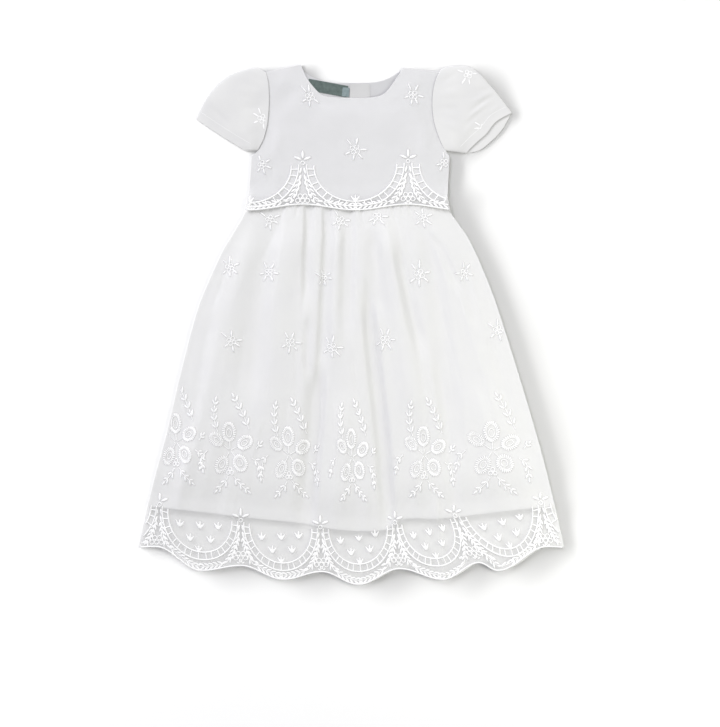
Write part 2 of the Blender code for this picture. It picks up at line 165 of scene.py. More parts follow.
# Sleeves: outer edge from shoulder to cuff, then the front and back cuff edges
SLEEVE_LEFT_TOP = (
    (-98.3, 290.4), (-111, 295.6), (-135.1, 289.5), (-152.4, 278.6), (-165, 263.8), (-173.1, 248.8),
    (-178.8, 236.9),
)
SLEEVE_LEFT_CUFF = ((-178.8, 236.9), (-150, 217.6), (-120.6, 199.6))
SLEEVE_RIGHT_TOP = (
    (100.6, 290.4), (105.2, 295), (116.7, 297.3), (134, 297), (146, 289.8), (159.3, 275.4),
    (171.9, 260.5), (184.2, 244),
)
SLEEVE_RIGHT_CUFF = ((184.2, 244), (166, 233.6), (155, 220), (142, 208.4), (131.5, 197.5))
SLEEVE_RIGHT_CUFF_BACK = ((184.2, 244), (171.9, 223.1), (157, 208.2), (146, 200.6), (131.5, 197.5))
SLEEVE_EDGE_POWER = 6.0
SEAM_LAP = 1.3
SLEEVE_WALL = 0.5
SLEEVE_RINGS = 60
SLEEVE_LOOP = 70
WRINKLE_FLOOR = 1.6
CUFF_HEM = 9.5
SLEEVE_FOOT_LEFT = (-107.5, 200.5)
SLEEVE_FOOT_RIGHT = (107.5, 200.0)

# Creases of the skirt, from the waist down. Across is -1 at the left edge and 1 at the right.
# Each has its own soft width on either side of its line, and spreads by its growth as it falls.
CREASES = (
    # top y, low y, across at top, halfway and bottom, left width, right width, growth, rise
    (150, -115, -0.74, -0.6, -0.59, 26, 16, 1.5, -2.8), (160, 10, -0.44, -0.34, -0.27, 5, 9, 1.5, -2.4),
    (10, -70, -0.27, -0.26, -0.25, 6, 8, 1.2, -1.2), (160, -90, -0.25, -0.175, -0.2, 5, 13, 1.3, -2.4),
    (-40, -270, -0.17, -0.195, -0.215, 19, 9, 1.3, -5), (160, -30, 0.005, 0.01, 0, 20, 8, 1.2, -1.8),
    (60, -275, 0.125, 0.165, 0.185, 12, 10, 1.2, -5), (110, 0, 0.19, 0.195, 0.2, 12, 12, 1.2, -1.4),
    (140, -150, 0.315, 0.345, 0.36, 16, 14, 1.6, 2.6), (95, -45, 0.38, 0.41, 0.46, 9, 11, 1.4, -2),
    (140, -200, 0.68, 0.59, 0.53, 16, 12, 1.5, -2), (105, 30, 0.72, 0.75, 0.78, 8, 8, 1.2, -1.2),
    (70, -10, 0.86, 0.83, 0.82, 9, 9, 1.2, -0.8), (130, -170, -0.52, -0.46, -0.46, 22, 22, 1.5, 1.2),
    (130, -60, -0.1, -0.08, -0.1, 9, 9, 1.5, 1.4), (-70, -310, -0.04, -0.06, -0.07, 18, 20, 1.3, 1.6),
    (-60, -290, 0.74, 0.74, 0.72, 24, 26, 1.1, 1.2), (-20, -250, 0.54, 0.52, 0.505, 10, 9, 1.3, -1.2),
    (-190, -320, 0.42, 0.42, 0.43, 12, 5, 1.3, 2.2), (-120, -300, 0.34, 0.34, 0.33, 16, 14, 1.2, 1.2),
    (-100, -300, -0.62, -0.66, -0.7, 20, 14, 1.2, -1.4),
    (-120, -300, -0.84, -0.85, -0.86, 14, 14, 1.2, 1), (20, -120, -0.9, -0.88, -0.87, 10, 12, 1.3, -0.8),
    (0, -160, 0.9, 0.89, 0.88, 9, 9, 1.3, -0.6),
)

# Short gathers under the waist seam: across, depth, length
GATHERS = (
    (-0.95, 0.5, 14), (-0.9, 0.7, 18), (-0.84, 0.5, 12), (-0.77, 1.2, 30), (-0.7, 0.6, 14),
    (-0.64, 1.3, 34), (-0.57, 0.7, 18), (-0.5, 1.3, 26), (-0.34, 1.1, 22), (-0.29, 0.7, 16),
    (-0.18, 1.3, 36), (-0.11, 0.7, 18), (-0.06, 0.6, 14), (0.06, 0.7, 16), (0.13, 1.4, 40),
    (0.19, 0.7, 20), (0.25, 0.8, 24), (0.33, 0.7, 14), (0.38, 0.8, 22), (0.44, 1.3, 38), (0.49, 0.7, 14),
    (0.53, 1.1, 28), (0.61, 1.1, 32), (0.67, 0.6, 14), (0.73, 1.2, 26), (0.8, 0.9, 22), (0.87, 0.6, 18),
    (0.93, 0.6, 14),
)

# How the folds stand, in mm. A crease starts and ends softly over shares of its length.
GATHER_HALF_WIDTH = 3.2
SKIRT_PUFF = 6.0
WAIST_PUFF = 2.2
HIGHEST_FOLD = 10.5
SOFT_FLOOR = 0.7
CREASE_DEPTH = 1.7
CREASE_START = 0.2
CREASE_END = 0.3
PUFF_DOWN = 60.0
PUFF_IN = 40.0
SATIN_BELOW = 0.7
FOLD_IN_HEM = 0.42
RIPPLES = 70
RIPPLE_HEIGHT = 0.35

# Where the lace's scallops meet: x, y of the star at the top and x of the notch below it
HEM_STARS = (
    (-305, -188, -318), (-220, -203, -224.5), (-127, -221, -127), (-35.8, -228.7, -34),
    (49.5, -223.6, 55.3), (117.3, -215.6, 146.6), (216.8, -201, 224.5), (318, -182, 330),
)
WAIST_STARS = ((-177, 188, -177), (-56, 189, -56), (65, 191, 65), (186, 189, 186))
NOTCH_DEPTH = 58.0
WAIST_KEPT_DEPTH = 50.0
WAIST_PRESS = 0.5
GARLAND_INSET = 5.4
GARLAND_LEAVES = 13
GARLAND_LEAN = 27.0
LADDER_BARS = 17
EDGE_CORD_INSET = 0.9

# Star-flower sprigs: x, y, size and turn in degrees
BODICE_SPRIGS = (
    (-47.7, 262.2, 1, 10), (70.7, 264, 1, -12), (4, 201.3, 1.1, 0), (-102.9, 184, 0.9, 25),
    (106.4, 186.3, 0.9, -20),
)
SKIRT_SPRIGS = (
    (-93.7, 121, 0.95, 20), (-12.6, 119.4, 0.95, 0), (29.4, 124, 0.95, -10), (82, 122.5, 0.9, 15),
    (-139.7, 66, 0.95, 12), (-95, 60, 0.9, -18), (-32, 54, 0.75, 30), (77.6, 58, 1.15, 8),
    (129.4, 60, 0.85, -25), (-137.4, -18.5, 1, 10), (-70, -20.5, 1, -6), (-22.4, -26, 1.05, 4),
    (38.5, -17.5, 1.05, -8), (168, -6, 1, 14),
)
SLEEVE_LEFT_SPRIGS = ((-102, 236.5, 1, 200),)
SLEEVE_RIGHT_SPRIGS = ((134, 287.5, 0.95, 150), (151.5, 226.5, 0.8, 60))

# Large flower sprays: x, y, width, size and the number of leafy stems above
FLOWERS = (
    (161.6, -143.8, 1, 1, 1), (83.4, -148.7, 0.8, 0.98, 2), (0.6, -151.8, 0.6, 1, 2),
    (-71.5, -149, 0.78, 0.98, 2), (-139, -143.8, 0.85, 0.98, 2), (-201, -134, 0.75, 0.98, 1),
)

# Label, size tab and the strip of the back opening, seen inside the neck
LABEL = {"x": -27.5, "y": 272.3, "width": 46.0, "height": 13.2, "turn": -10.5, "flat": (0.046, 0.0132)}
SIZE_TAB = {"x": -6.6, "y": 267.6, "width": 8.0, "height": 10.4, "turn": -5.0, "flat": (0.010, 0.0104)}
PLACKET_LEFT_X = -1.7
PLACKET_RIGHT_X = 22.4
PLACKET_TOP_Y = 277.0

# Soft wrinkles of the bodice front and the sleeves: x, y, turn in degrees, length, width and height
BODICE_WRINKLES = (
    (-74, 262, 62, 60, 16, -1.5), (-84, 214, 98, 56, 11, 0.9), (78, 268, 118, 54, 14, -0.9),
    (84, 216, 84, 60, 11, 0.8), (-20, 232, 8, 90, 26, 0.7), (40, 228, -10, 80, 24, 0.6),
    (-92, 176, 80, 44, 10, -0.9), (90, 172, 100, 44, 9, -0.8), (-30, 256, -14, 46, 9, -0.5),
    (52, 254, 24, 42, 9, -0.5),
)
LEFT_SLEEVE_WRINKLES = (
    (-112, 285, 150, 40, 6, -0.5), (-116, 268, 172, 46, 8, 0.4), (-113, 250, 188, 40, 8, -0.4),
    (-116, 226, 215, 40, 8, 0.3), (-153, 242, 134, 52, 6, -0.7), (-142, 262, 120, 50, 18, 0.4),
)
RIGHT_SLEEVE_WRINKLES = (
    (112, 284, 30, 36, 6, -0.7), (114, 266, 8, 40, 8, 0.6), (112, 248, -6, 40, 7, -0.6),
    (116, 228, -28, 36, 7, 0.6), (153, 281, -18, 36, 5, 0.7), (157, 271, 10, 44, 4.5, -0.9),
    (153, 263, 26, 48, 4, 0.9), (150, 255, 33, 50, 4, -0.9), (146, 247, 40, 46, 4, 0.8),
    (140, 238, 42, 42, 4.5, -0.5), (134, 224, 44, 34, 6, 0.3), (166, 249, 40, 26, 3.5, 0.6),
)

SLEEVES = (
    # side, outward, armhole, its foot, top, front and back cuff, rise at the cuff, wrinkles, sprigs
    (
        "left", -1, ARMHOLE_LEFT, SLEEVE_FOOT_LEFT, SLEEVE_LEFT_TOP, SLEEVE_LEFT_CUFF, SLEEVE_LEFT_CUFF,
        2.6, LEFT_SLEEVE_WRINKLES, SLEEVE_LEFT_SPRIGS,
    ),
    (
        "right", 1, ARMHOLE_RIGHT, SLEEVE_FOOT_RIGHT, SLEEVE_RIGHT_TOP, SLEEVE_RIGHT_CUFF,
        SLEEVE_RIGHT_CUFF_BACK, 2.2, RIGHT_SLEEVE_WRINKLES, SLEEVE_RIGHT_SPRIGS,
    ),
)

# A sprig's leaves: direction in degrees, start, length and width
SPRIG_LEAVES = (
    (82, 4.6, 9.5, 2.3), (124, 4.6, 10.5, 1.8), (4, 5, 8.5, 2.2), (-42, 4.6, 8.5, 2.3), (-97, 4.6, 8.5, 2.1),
    (-148, 4.8, 7.5, 1.8),
)

# A flower's petals: direction, reach, long and short radius, and weight of their stitches
PETALS = (
    (94, 21.5, 11.8, 9.2, 1.0), (24, 22.5, 11.2, 8.2, 1.0), (-47, 20.5, 10.8, 9.4, 1.0),
    (-124, 20.5, 11.0, 8.4, 0.7), (146, 23.0, 10.5, 7.4, 0.7),
)
PETAL_RIM = 3.0
RIM_STITCHES = 25

# Its leafy stems and the sprays below it: points of the stem, pairs of leaves, their length and width
HIGH_SPRAYS = (
    (((26, 25), (19, 40), (11, 54), (6.5, 61)), 4, 10.5, 2.6),
    (((-17, 22), (-21, 34), (-22, 46), (-20, 57)), 4, 9.5, 2.3),
)
LOW_SPRAYS = (
    (((-3, -31), (-8, -38), (-17, -46)), 2, 9.5, 2.3),
    (((5, -30), (12, -38), (24, -47)), 3, 9.0, 2.3),
    (((30, -9), (39, -16), (42, -31)), 3, 9.0, 2.3),
    (((-31, 0), (-38, -7), (-41, -18)), 2, 8.0, 2.2),
    (((36, 2), (41, 7)), 1, 8.0, 2.3),
)
SPRAY_LEAN = 34.0
SPRAY_TAPER = 0.75

# Leaves between two scallops: y, half width, length, and lean from straight down
SPINE_LEAVES = (
    (-8, 1.4, 8.5, 14), (-16, 1.6, 8.5, 16), (-24, 2.4, 8.5, 24), (-31, 4, 8, 32), (-38, 6, 8, 40),
    (-45, 9.5, 7.5, 50), (-50, 15, 7, 62),
)

# A crown's stitches: the tip's place and the stitch's width
CROWN = ((-5.4, 3.2, 1.9), (-2.5, 1.4, 1.7), (0, 4.8, 2.1), (2.5, 1.4, 1.7), (5.4, 3.2, 1.9))

# Lights: name, place, power, width, height, colour, and whether it reaches the floor alone
LIGHTS = (
    ("window", (-2.3, 2.8, 2.4), 151.0, 2.0, 2.0, (0.965, 0.96, 1.0), False),
    ("fill", (0.75, -0.15, 0.6), 3.95, 0.5, 0.5, (1.0, 1.0, 0.91), False),
    ("low_window", (-4.85, 1.1, 0.66), 2450.0, 6.0, 0.5, (1.0, 1.0, 1.0), True),
)
SKY_STRENGTH = 0.548

# The phase of a wave texture runs this many times its scale
WAVE_RATE = 20.0


def smoothstep(value):
    """0 below 0, 1 above 1 and a soft step between."""
    value = np.clip(value, 0.0, 1.0)
    return value * value * (3 - 2 * value)


def bump(distance):
    """A soft bump, 1 at 0 and 0 from a distance of 1."""
    return 0.5 * (1 + np.cos(np.pi * np.clip(distance, -1, 1)))


def smooth_value(rows, place, column):
    """The value in a column at a place, on a smooth curve through the table's rows."""
    places, values = rows[:, 0], rows[:, column]
    place = np.clip(np.asarray(place, float), places[0], places[-1])
    slopes = np.gradient(values, places)
    slopes[1:-1] = (values[2:] - values[:-2]) / (places[2:] - places[:-2])
    after = np.clip(np.searchsorted(places, place), 1, len(places) - 1)
    span = places[after] - places[after - 1]
    t = (place - places[after - 1]) / span
    return (
        (2 * t**3 - 3 * t**2 + 1) * values[after - 1]
        + (t**3 - 2 * t**2 + t) * span * slopes[after - 1]
        + (3 * t**2 - 2 * t**3) * values[after]
        + (t**3 - t**2) * span * slopes[after]
    )


def smooth_path(points, steps):
    """The points of a smooth curve through the given ones, with some steps between each two."""
    knots = [Vector((*point, 0)).xy for point in points]
    path = []
    for i in range(len(knots) - 1):
        start = knots[max(i - 1, 0)]
        end = knots[min(i + 2, len(knots) - 1)]
        for step in range(steps):
            t = step / steps
            a = -0.5 * t**3 + t**2 - 0.5 * t
            b = 1.5 * t**3 - 2.5 * t**2 + 1
            c = -1.5 * t**3 + 2 * t**2 + 0.5 * t
            d = 0.5 * t**3 - 0.5 * t**2
            path.append(a * start + b * knots[i] + c * knots[i + 1] + d * end)
    path.append(knots[-1])
    return path


def even_points(path, count):
    """A path's points at even spacing, as an array of rows x, y."""
    points = np.array([tuple(point) for point in path])
    lengths = np.concatenate(([0], np.cumsum(np.hypot(*np.diff(points, axis=0).T))))
    places = np.linspace(0, lengths[-1], count)
    return np.column_stack([np.interp(places, lengths, points[:, k]) for k in (0, 1)])


def hem_y(x):
    """The height of the scalloped hem, which turns softly at each notch and scallop."""
    x = np.clip(np.asarray(x, float), HEM_TURNS[0, 0], HEM_TURNS[-1, 0])
    after = np.clip(np.searchsorted(HEM_TURNS[:, 0], x), 1, len(HEM_TURNS) - 1)
    x0, y0 = HEM_TURNS[after - 1].T
    x1, y1 = HEM_TURNS[after].T
    t = (x - x0) / (x1 - x0)
    return y0 + (y1 - y0) * (1 - np.cos(np.pi * t)) / 2


def skirt_middle(y):
    return (smooth_value(SKIRT_EDGE, y, 1) + smooth_value(SKIRT_EDGE, y, 2)) / 2


def skirt_half_width(y):
    return (smooth_value(SKIRT_EDGE, y, 2) - smooth_value(SKIRT_EDGE, y, 1)) / 2


def skirt_x(across, y):
    """The x of a place across the skirt, -1 to 1, at a height on the gown."""
    return skirt_middle(y) + across * skirt_half_width(y)


def edge_y(across, edge):
    """The height where a line down the skirt meets an edge that is given by its y at each x."""
    y = np.full_like(across, EDGE_GUESS_Y)
    for _ in range(5):
        y = edge(skirt_x(across, y))
    return y


def lining_hem_y(x):
    """The height of the satin lining's lower edge."""
    return smooth_value(LINING_HEM, x, 1)


def make_ripples():
    """Fine soft creases between the main ones, in the table form of CREASES."""
    rng = np.random.default_rng(11)
    rows = []
    for _ in range(RIPPLES):
        top = rng.uniform(-200, 140)
        length = rng.uniform(50, 150)
        place = rng.uniform(-0.96, 0.96)
        drift = rng.uniform(-0.02, 0.02)
        left, right = rng.uniform(3, 8, 2)
        rise = rng.uniform(-1, 1) * RIPPLE_HEIGHT
        rows.append((top, top - length, place, place + drift, place + 2 * drift, left, right, 1.2, rise))
    return tuple(rows)


def fold_height(across, y):
    """How far the folded cloth stands above the level where it would lie flat."""
    half = skirt_half_width(y)
    puff = WAIST_PUFF + (SKIRT_PUFF - WAIST_PUFF) * smoothstep((WAIST_Y - y) / PUFF_DOWN)
    height = puff * smoothstep((1 - np.abs(across)) * half / PUFF_IN)
    for top, low, x_top, x_mid, x_low, left, right, growth, rise in CREASES + make_ripples():
        t = (top - y) / (top - low)
        line = x_top * (1 - t) * (1 - 2 * t) + x_mid * 4 * t * (1 - t) + x_low * t * (2 * t - 1)
        away = (across - line) * half
        width = np.where(away < 0, left, right) * (1 + (growth - 1) * np.clip(t, 0, 1))
        ends = smoothstep(t / CREASE_START) * smoothstep((1 - t) / CREASE_END)
        height = height + CREASE_DEPTH * rise * ends * bump(away / width)
    for place, depth, length in GATHERS:
        fade = 1 - smoothstep((WAIST_Y - y) / length)
        height = height - depth * fade * bump((across - place) * half / GATHER_HALF_WIDTH)
    return np.minimum(SOFT_FLOOR * np.logaddexp(0, height / SOFT_FLOOR), HIGHEST_FOLD)


def skirt_organza_z(across, y):
    """The height of the skirt's organza, which sinks onto the back towards the lining's hem."""
    above = y - lining_hem_y(skirt_x(across, y))
    drop = smoothstep((DROP_START - above) / DROP_LENGTH)
    folds = fold_height(across, y)
    high = SIDE_SEAM_Z + ORGANZA_LIFT + LAYER_GAP + folds
    low = SIDE_SEAM_Z + LAYER_GAP + FOLD_IN_HEM * folds
    turn_up = smoothstep(1 - above / LINING_TURN_UP) * smoothstep(1 + above / TURN_UP_FALL)
    return high + (low - high) * drop + TURN_UP_RISE * turn_up


def lining_z(across, y):
    """The height of the skirt's satin lining, close under the organza."""
    return skirt_organza_z(across, y) - SATIN_BELOW


def skirt_back_z(across, y):
    """The height of the skirt's back: flat, with slow soft waves."""
    return BACK_SKIRT_Z + 0.25 * np.sin(across * 23 + np.sin(y / 37)) * np.sin(y / 61)


def bodice_back_z(x, y):
    """The height of the bodice's back: flat, with slow soft waves."""
    return BACK_BODICE_Z + 0.15 * np.sin(x / 31) * np.sin(y / 23)


def level(z):
    """The height function of a piece that lies flat."""
    return lambda x, y: np.full_like(x, z)


def front_z(x, y):
    """The height of the satin front: low at the side and shoulder seams and at the neck."""
    middle = (SIDE_LEFT_X[0] + SIDE_RIGHT_X[0]) / 2
    half = np.interp(y, (190, 225), (113, 96))
    from_side = smoothstep((half - np.abs(x - middle)) / FRONT_SLOPE)
    from_shoulder = smoothstep((FRONT_TOP_Y - y) / FRONT_SLOPE)
    from_neck = np.full(np.shape(x), 1e3)
    for nx, ny in even_points(smooth_path(FRONT_NECK, 6), 80):
        from_neck = np.minimum(from_neck, np.hypot(x - nx, y - ny))
    rise = FRONT_RISE * from_side * from_shoulder * smoothstep(0.15 + from_neck / 26)
    return FRONT_LOW + rise + wrinkle_height(x, y, BODICE_WRINKLES) * smoothstep(from_neck / 14)


def wrinkle_height(x, y, wrinkles):
    """The summed height of soft wrinkles, each a long bump turned in plan."""
    height = np.zeros_like(np.asarray(x, float))
    for cx, cy, turn, length, width, rise in wrinkles:
        c, s = math.cos(math.radians(turn)), math.sin(math.radians(turn))
        along = (x - cx) * c + (y - cy) * s
        aside = -(x - cx) * s + (y - cy) * c
        height = height + rise * bump(2 * along / length) * bump(aside / width)
    return height


def front_organza_z(x, y):
    """The height of the organza front, which rises over the gathered skirt at the waist."""
    flat = front_z(x, y) + SATIN_BELOW
    return flat + (WAIST_LAP_Z - flat) * smoothstep((WAIST_Y + LAP_START - y) / LAP_LENGTH)


def free_edge_y(x):
    """The waved lower edge of the organza front."""
    return FREE_EDGE_Y - FREE_EDGE_WAVE * np.cos(2 * np.pi * (x - FREE_EDGE_LOW_X) / LACE_REPEAT)


def linear(hex_colour):
    """A linear colour with alpha from an sRGB hex value."""
    parts = [((hex_colour >> shift) & 255) / 255 for shift in (16, 8, 0)]
    return (*(p / 12.92 if p <= 0.04045 else ((p + 0.055) / 1.055) ** 2.4 for p in parts), 1.0)


def add_node(tree, kind, inputs=None, **settings):
    """Adds a node, sets its properties, and sets or links its inputs by name or number."""
    node = tree.nodes.new(kind)
    for key, value in settings.items():
        setattr(node, key, value)
    for key, value in (inputs or {}).items():
        if isinstance(value, bpy.types.NodeSocket):
            tree.links.new(value, node.inputs[key])
        else:
            node.inputs[key].default_value = value
    return node


def new_material(name, settings):
    """A material with one Principled shader, whose plain sockets are set from the settings."""
    material = bpy.data.materials.new(name)
    material.use_nodes = True
    for key, value in settings.items():
        material.node_tree.nodes["Principled BSDF"].inputs[key].default_value = value
    return material


def add_wave(tree, direction, spacing, distortion):
    """Waves a spacing in mm apart along x or y. Diagonal ones are twice as far apart along each."""
    place = add_node(tree, "ShaderNodeTexCoord").outputs["Object"]
    scale = 2 * math.pi / (WAVE_RATE * spacing * MM)
    inputs = {"Vector": place, "Scale": scale, "Distortion": distortion, "Detail": 1.0}
    return add_node(tree, "ShaderNodeTexWave", inputs, bands_direction=direction).outputs["Fac"]


def add_bump(tree, height, strength, depth, **under):
    """A bump of a depth in mm, over the normal of another if one is given."""
    inputs = {"Height": height, "Strength": strength, "Distance": depth * MM, **under}
    return add_node(tree, "ShaderNodeBump", inputs).outputs["Normal"]


def dye(material, normal, factor, shades):
    """Links a material's bump, and its base colour between two shades by a factor."""
    tree = material.node_tree
    ramp = add_node(tree, "ShaderNodeValToRGB", {"Fac": factor})
    for stop, position, shade in zip(ramp.color_ramp.elements, (0.3, 0.7), shades):
        stop.position = position
        stop.color = linear(shade)
    shader = tree.nodes["Principled BSDF"]
    tree.links.new(ramp.outputs["Color"], shader.inputs["Base Color"])
    tree.links.new(normal, shader.inputs["Normal"])
    return material


def woven(name, settings, spacing, strength, depth, pucker_scale, pucker_depth, shades):
    """A cloth with crossed waves, a spacing in mm apart, and slower puckers as bump."""
    material = new_material(name, settings)
    tree = material.node_tree
    warp, weft = (add_wave(tree, direction, spacing, 0.6) for direction in ("X", "Y"))
    weave = add_node(tree, "ShaderNodeMath", {0: warp, 1: weft}, operation="MULTIPLY").outputs[0]
    place = add_node(tree, "ShaderNodeTexCoord").outputs["Object"]
    noise = {"Vector": place, "Scale": pucker_scale, "Detail": 3.0}
    pucker = add_node(tree, "ShaderNodeTexNoise", noise).outputs["Fac"]
    fine = add_bump(tree, weave, strength, depth)
    return dye(material, add_bump(tree, pucker, 1.0, pucker_depth, Normal=fine), pucker, shades)


def polyester_organza(name, alpha, *shades):
    """Sheer, crisp plain weave. Its 0.2 mm threads are too fine to show: waves are its unevenness."""
    settings = {"Roughness": 0.62, "Alpha": alpha, "IOR": 1.45}
    return woven(name, settings, 5.655, 0.3, 0.04, 35.0, 0.25, shades)


def duchess_satin(name, *shades):
    """Closely woven satin: smooth, with a soft broad shine and faint puckers."""
    settings = {"Roughness": 0.5, "IOR": 1.5, "Sheen Weight": 0.15}
    return woven(name, settings, 4.398, 0.2, 0.03, 30.0, 0.25, shades)


def woven_ribbon(name, *shades):
    """Damask label ribbon: tight and smooth, with faint crossed waves and small puckers."""
    return woven(name, {"Roughness": 0.5, "Sheen Weight": 0.1}, 3.770, 0.5, 0.08, 300.0, 0.1, shades)


def rayon_thread(name):
    """Lustrous embroidery thread, a little uneven by waves that slant across the stitches."""
    material = new_material(name, {"Roughness": 0.38, "IOR": 1.5, "Sheen Weight": 0.2})
    twist = add_wave(material.node_tree, "DIAGONAL", 4.398, 2.0)
    ridges = add_bump(material.node_tree, twist, 0.25, 0.15)
    return dye(material, ridges, twist, (0xF6F6F5, 0xFBFBFA))


def finish_piece(name, data, material):
    """Links a finished mesh at the origin, gives it its material, body and slot."""
    data.materials.clear()
    data.materials.append(material)
    piece = bpy.data.objects.new(name, data)
    bpy.context.scene.collection.objects.link(piece)
    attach(piece, BODY)
    return piece


def cloth_mesh(name, points, faces):
    """A closed mesh from points in mm, smooth, with its faces outwards and its rims crisp."""
    data = bpy.data.meshes.new(name)
    data.from_pydata((points * MM).tolist(), [], faces)
    data.shade_smooth()
    work = bmesh.new()
    work.from_mesh(data)
    bmesh.ops.recalc_face_normals(work, faces=work.faces)
    work.to_mesh(data)
    work.free()
    data.set_sharp_from_angle(angle=SHARP_ANGLE)
    return data


def rows_between(top, low, shares):
    """Rows of heights from one edge down to another, at some shares of the way."""
    return top + (low - top) * shares[:, None]


def skirt_shell(name, across, y, height, thickness):
    """A thin closed shell of a skirt's cloth: rows of heights down, places across."""
    u = np.broadcast_to(across, y.shape)
    top = np.stack([skirt_x(u, y), y, height(u, y)], axis=-1).reshape(-1, 3)
    low = top - (0, 0, thickness)
    low[:, 2] = np.maximum(low[:, 2], SHELL_UNDER)
    count = y.size
    index = np.arange(count).reshape(y.shape)
    a, b = index[:-1, :-1].ravel(), index[:-1, 1:].ravel()
    c, d = index[1:, 1:].ravel(), index[1:, :-1].ravel()
    border = np.concatenate([index[0, :], index[1:, -1], index[-1, -2::-1], index[-2:0:-1, 0]])
    after = np.roll(border, -1)
    faces = [np.column_stack([a, d, c, b]), np.column_stack([a, b, c, d]) + count]
    faces.append(np.column_stack([border, after, after + count, border + count]))
    return cloth_mesh(name, np.concatenate([top, low]), np.concatenate(faces).tolist())


def outline_shell(outline, height, spacing, thickness, name):
    """A thin closed shell of cloth over an outline in mm, lifted to its height point by point."""
    edge = [Vector(tuple(point)) for point in outline]
    ends = np.array([tuple(point) for point in edge])
    columns, rows = (np.arange(ends[:, k].min() + spacing / 2, ends[:, k].max(), spacing) for k in (0, 1))
    spots = [(x, y) for y in rows for x in columns]
    inside = [Vector(spot) for spot in spots if np.min(np.hypot(*(ends - spot).T)) > spacing * 0.5]
    edges = [(i, (i + 1) % len(edge)) for i in range(len(edge))]
    cut = delaunay_2d_cdt(edge + inside, edges, [], 1, 1e-6)
    plan = np.array([tuple(point) for point in cut[0]])
    z = height(plan[:, 0], plan[:, 1])
    layers = (z, np.maximum(z - thickness, SHELL_UNDER))
    points = np.concatenate([np.column_stack([plan, layer]) for layer in layers])
    count = len(plan)
    triangles = np.array(cut[2])
    pairs = [(face[i], face[(i + 1) % 3]) for face in cut[2] for i in range(3)]
    shared = set(pairs)
    rim = [(b, a, a + count, b + count) for a, b in pairs if (b, a) not in shared]
    return cloth_mesh(name, points, triangles.tolist() + (triangles[:, ::-1] + count).tolist() + rim)


def bodice_outline(neck):
    """The outline of a bodice panel, from the left waist corner round by the neck."""
    low = WAIST_Y + 0.3
    left = even_points(smooth_path(ARMHOLE_LEFT, 8), 36)[::-1]
    right = even_points(smooth_path(ARMHOLE_RIGHT, 8), 36)
    throat = even_points(smooth_path(neck, 8), 60)
    waist = np.linspace((SIDE_RIGHT_X[1], low), (SIDE_LEFT_X[1], low), 80)
    left_side = np.linspace((SIDE_LEFT_X[1], low), (SIDE_LEFT_X[0], UNDERARM_Y), 18)
    right_side = np.linspace((SIDE_RIGHT_X[0], UNDERARM_Y), (SIDE_RIGHT_X[1], low), 18)
    return [left_side[1:-1], left, throat, right, right_side[1:-1], waist]


def without_doubles(parts):
    """One outline from several runs of points, leaving out a point that repeats the one before."""
    kept = []
    for point in np.concatenate(parts):
        if not kept or np.hypot(*(point - kept[-1])) > SAME_POINT:
            kept.append(point)
    if np.hypot(*(kept[0] - kept[-1])) <= SAME_POINT:
        kept.pop()
    return kept


def half_outline(outline, left_half):
    """The part of an outline to one side of the centre back, closed by a straight cut."""
    edge = CENTRE_BACK_X + (-0.2 if left_half else 0.2)
    kept = []
    for here, after in zip(outline, outline[1:] + outline[:1]):
        if (here[0] < edge) == left_half:
            kept.append(here)
        if (here[0] < edge) != (after[0] < edge):
            kept.append(here + (after - here) * (edge - here[0]) / (after[0] - here[0]))
    return kept


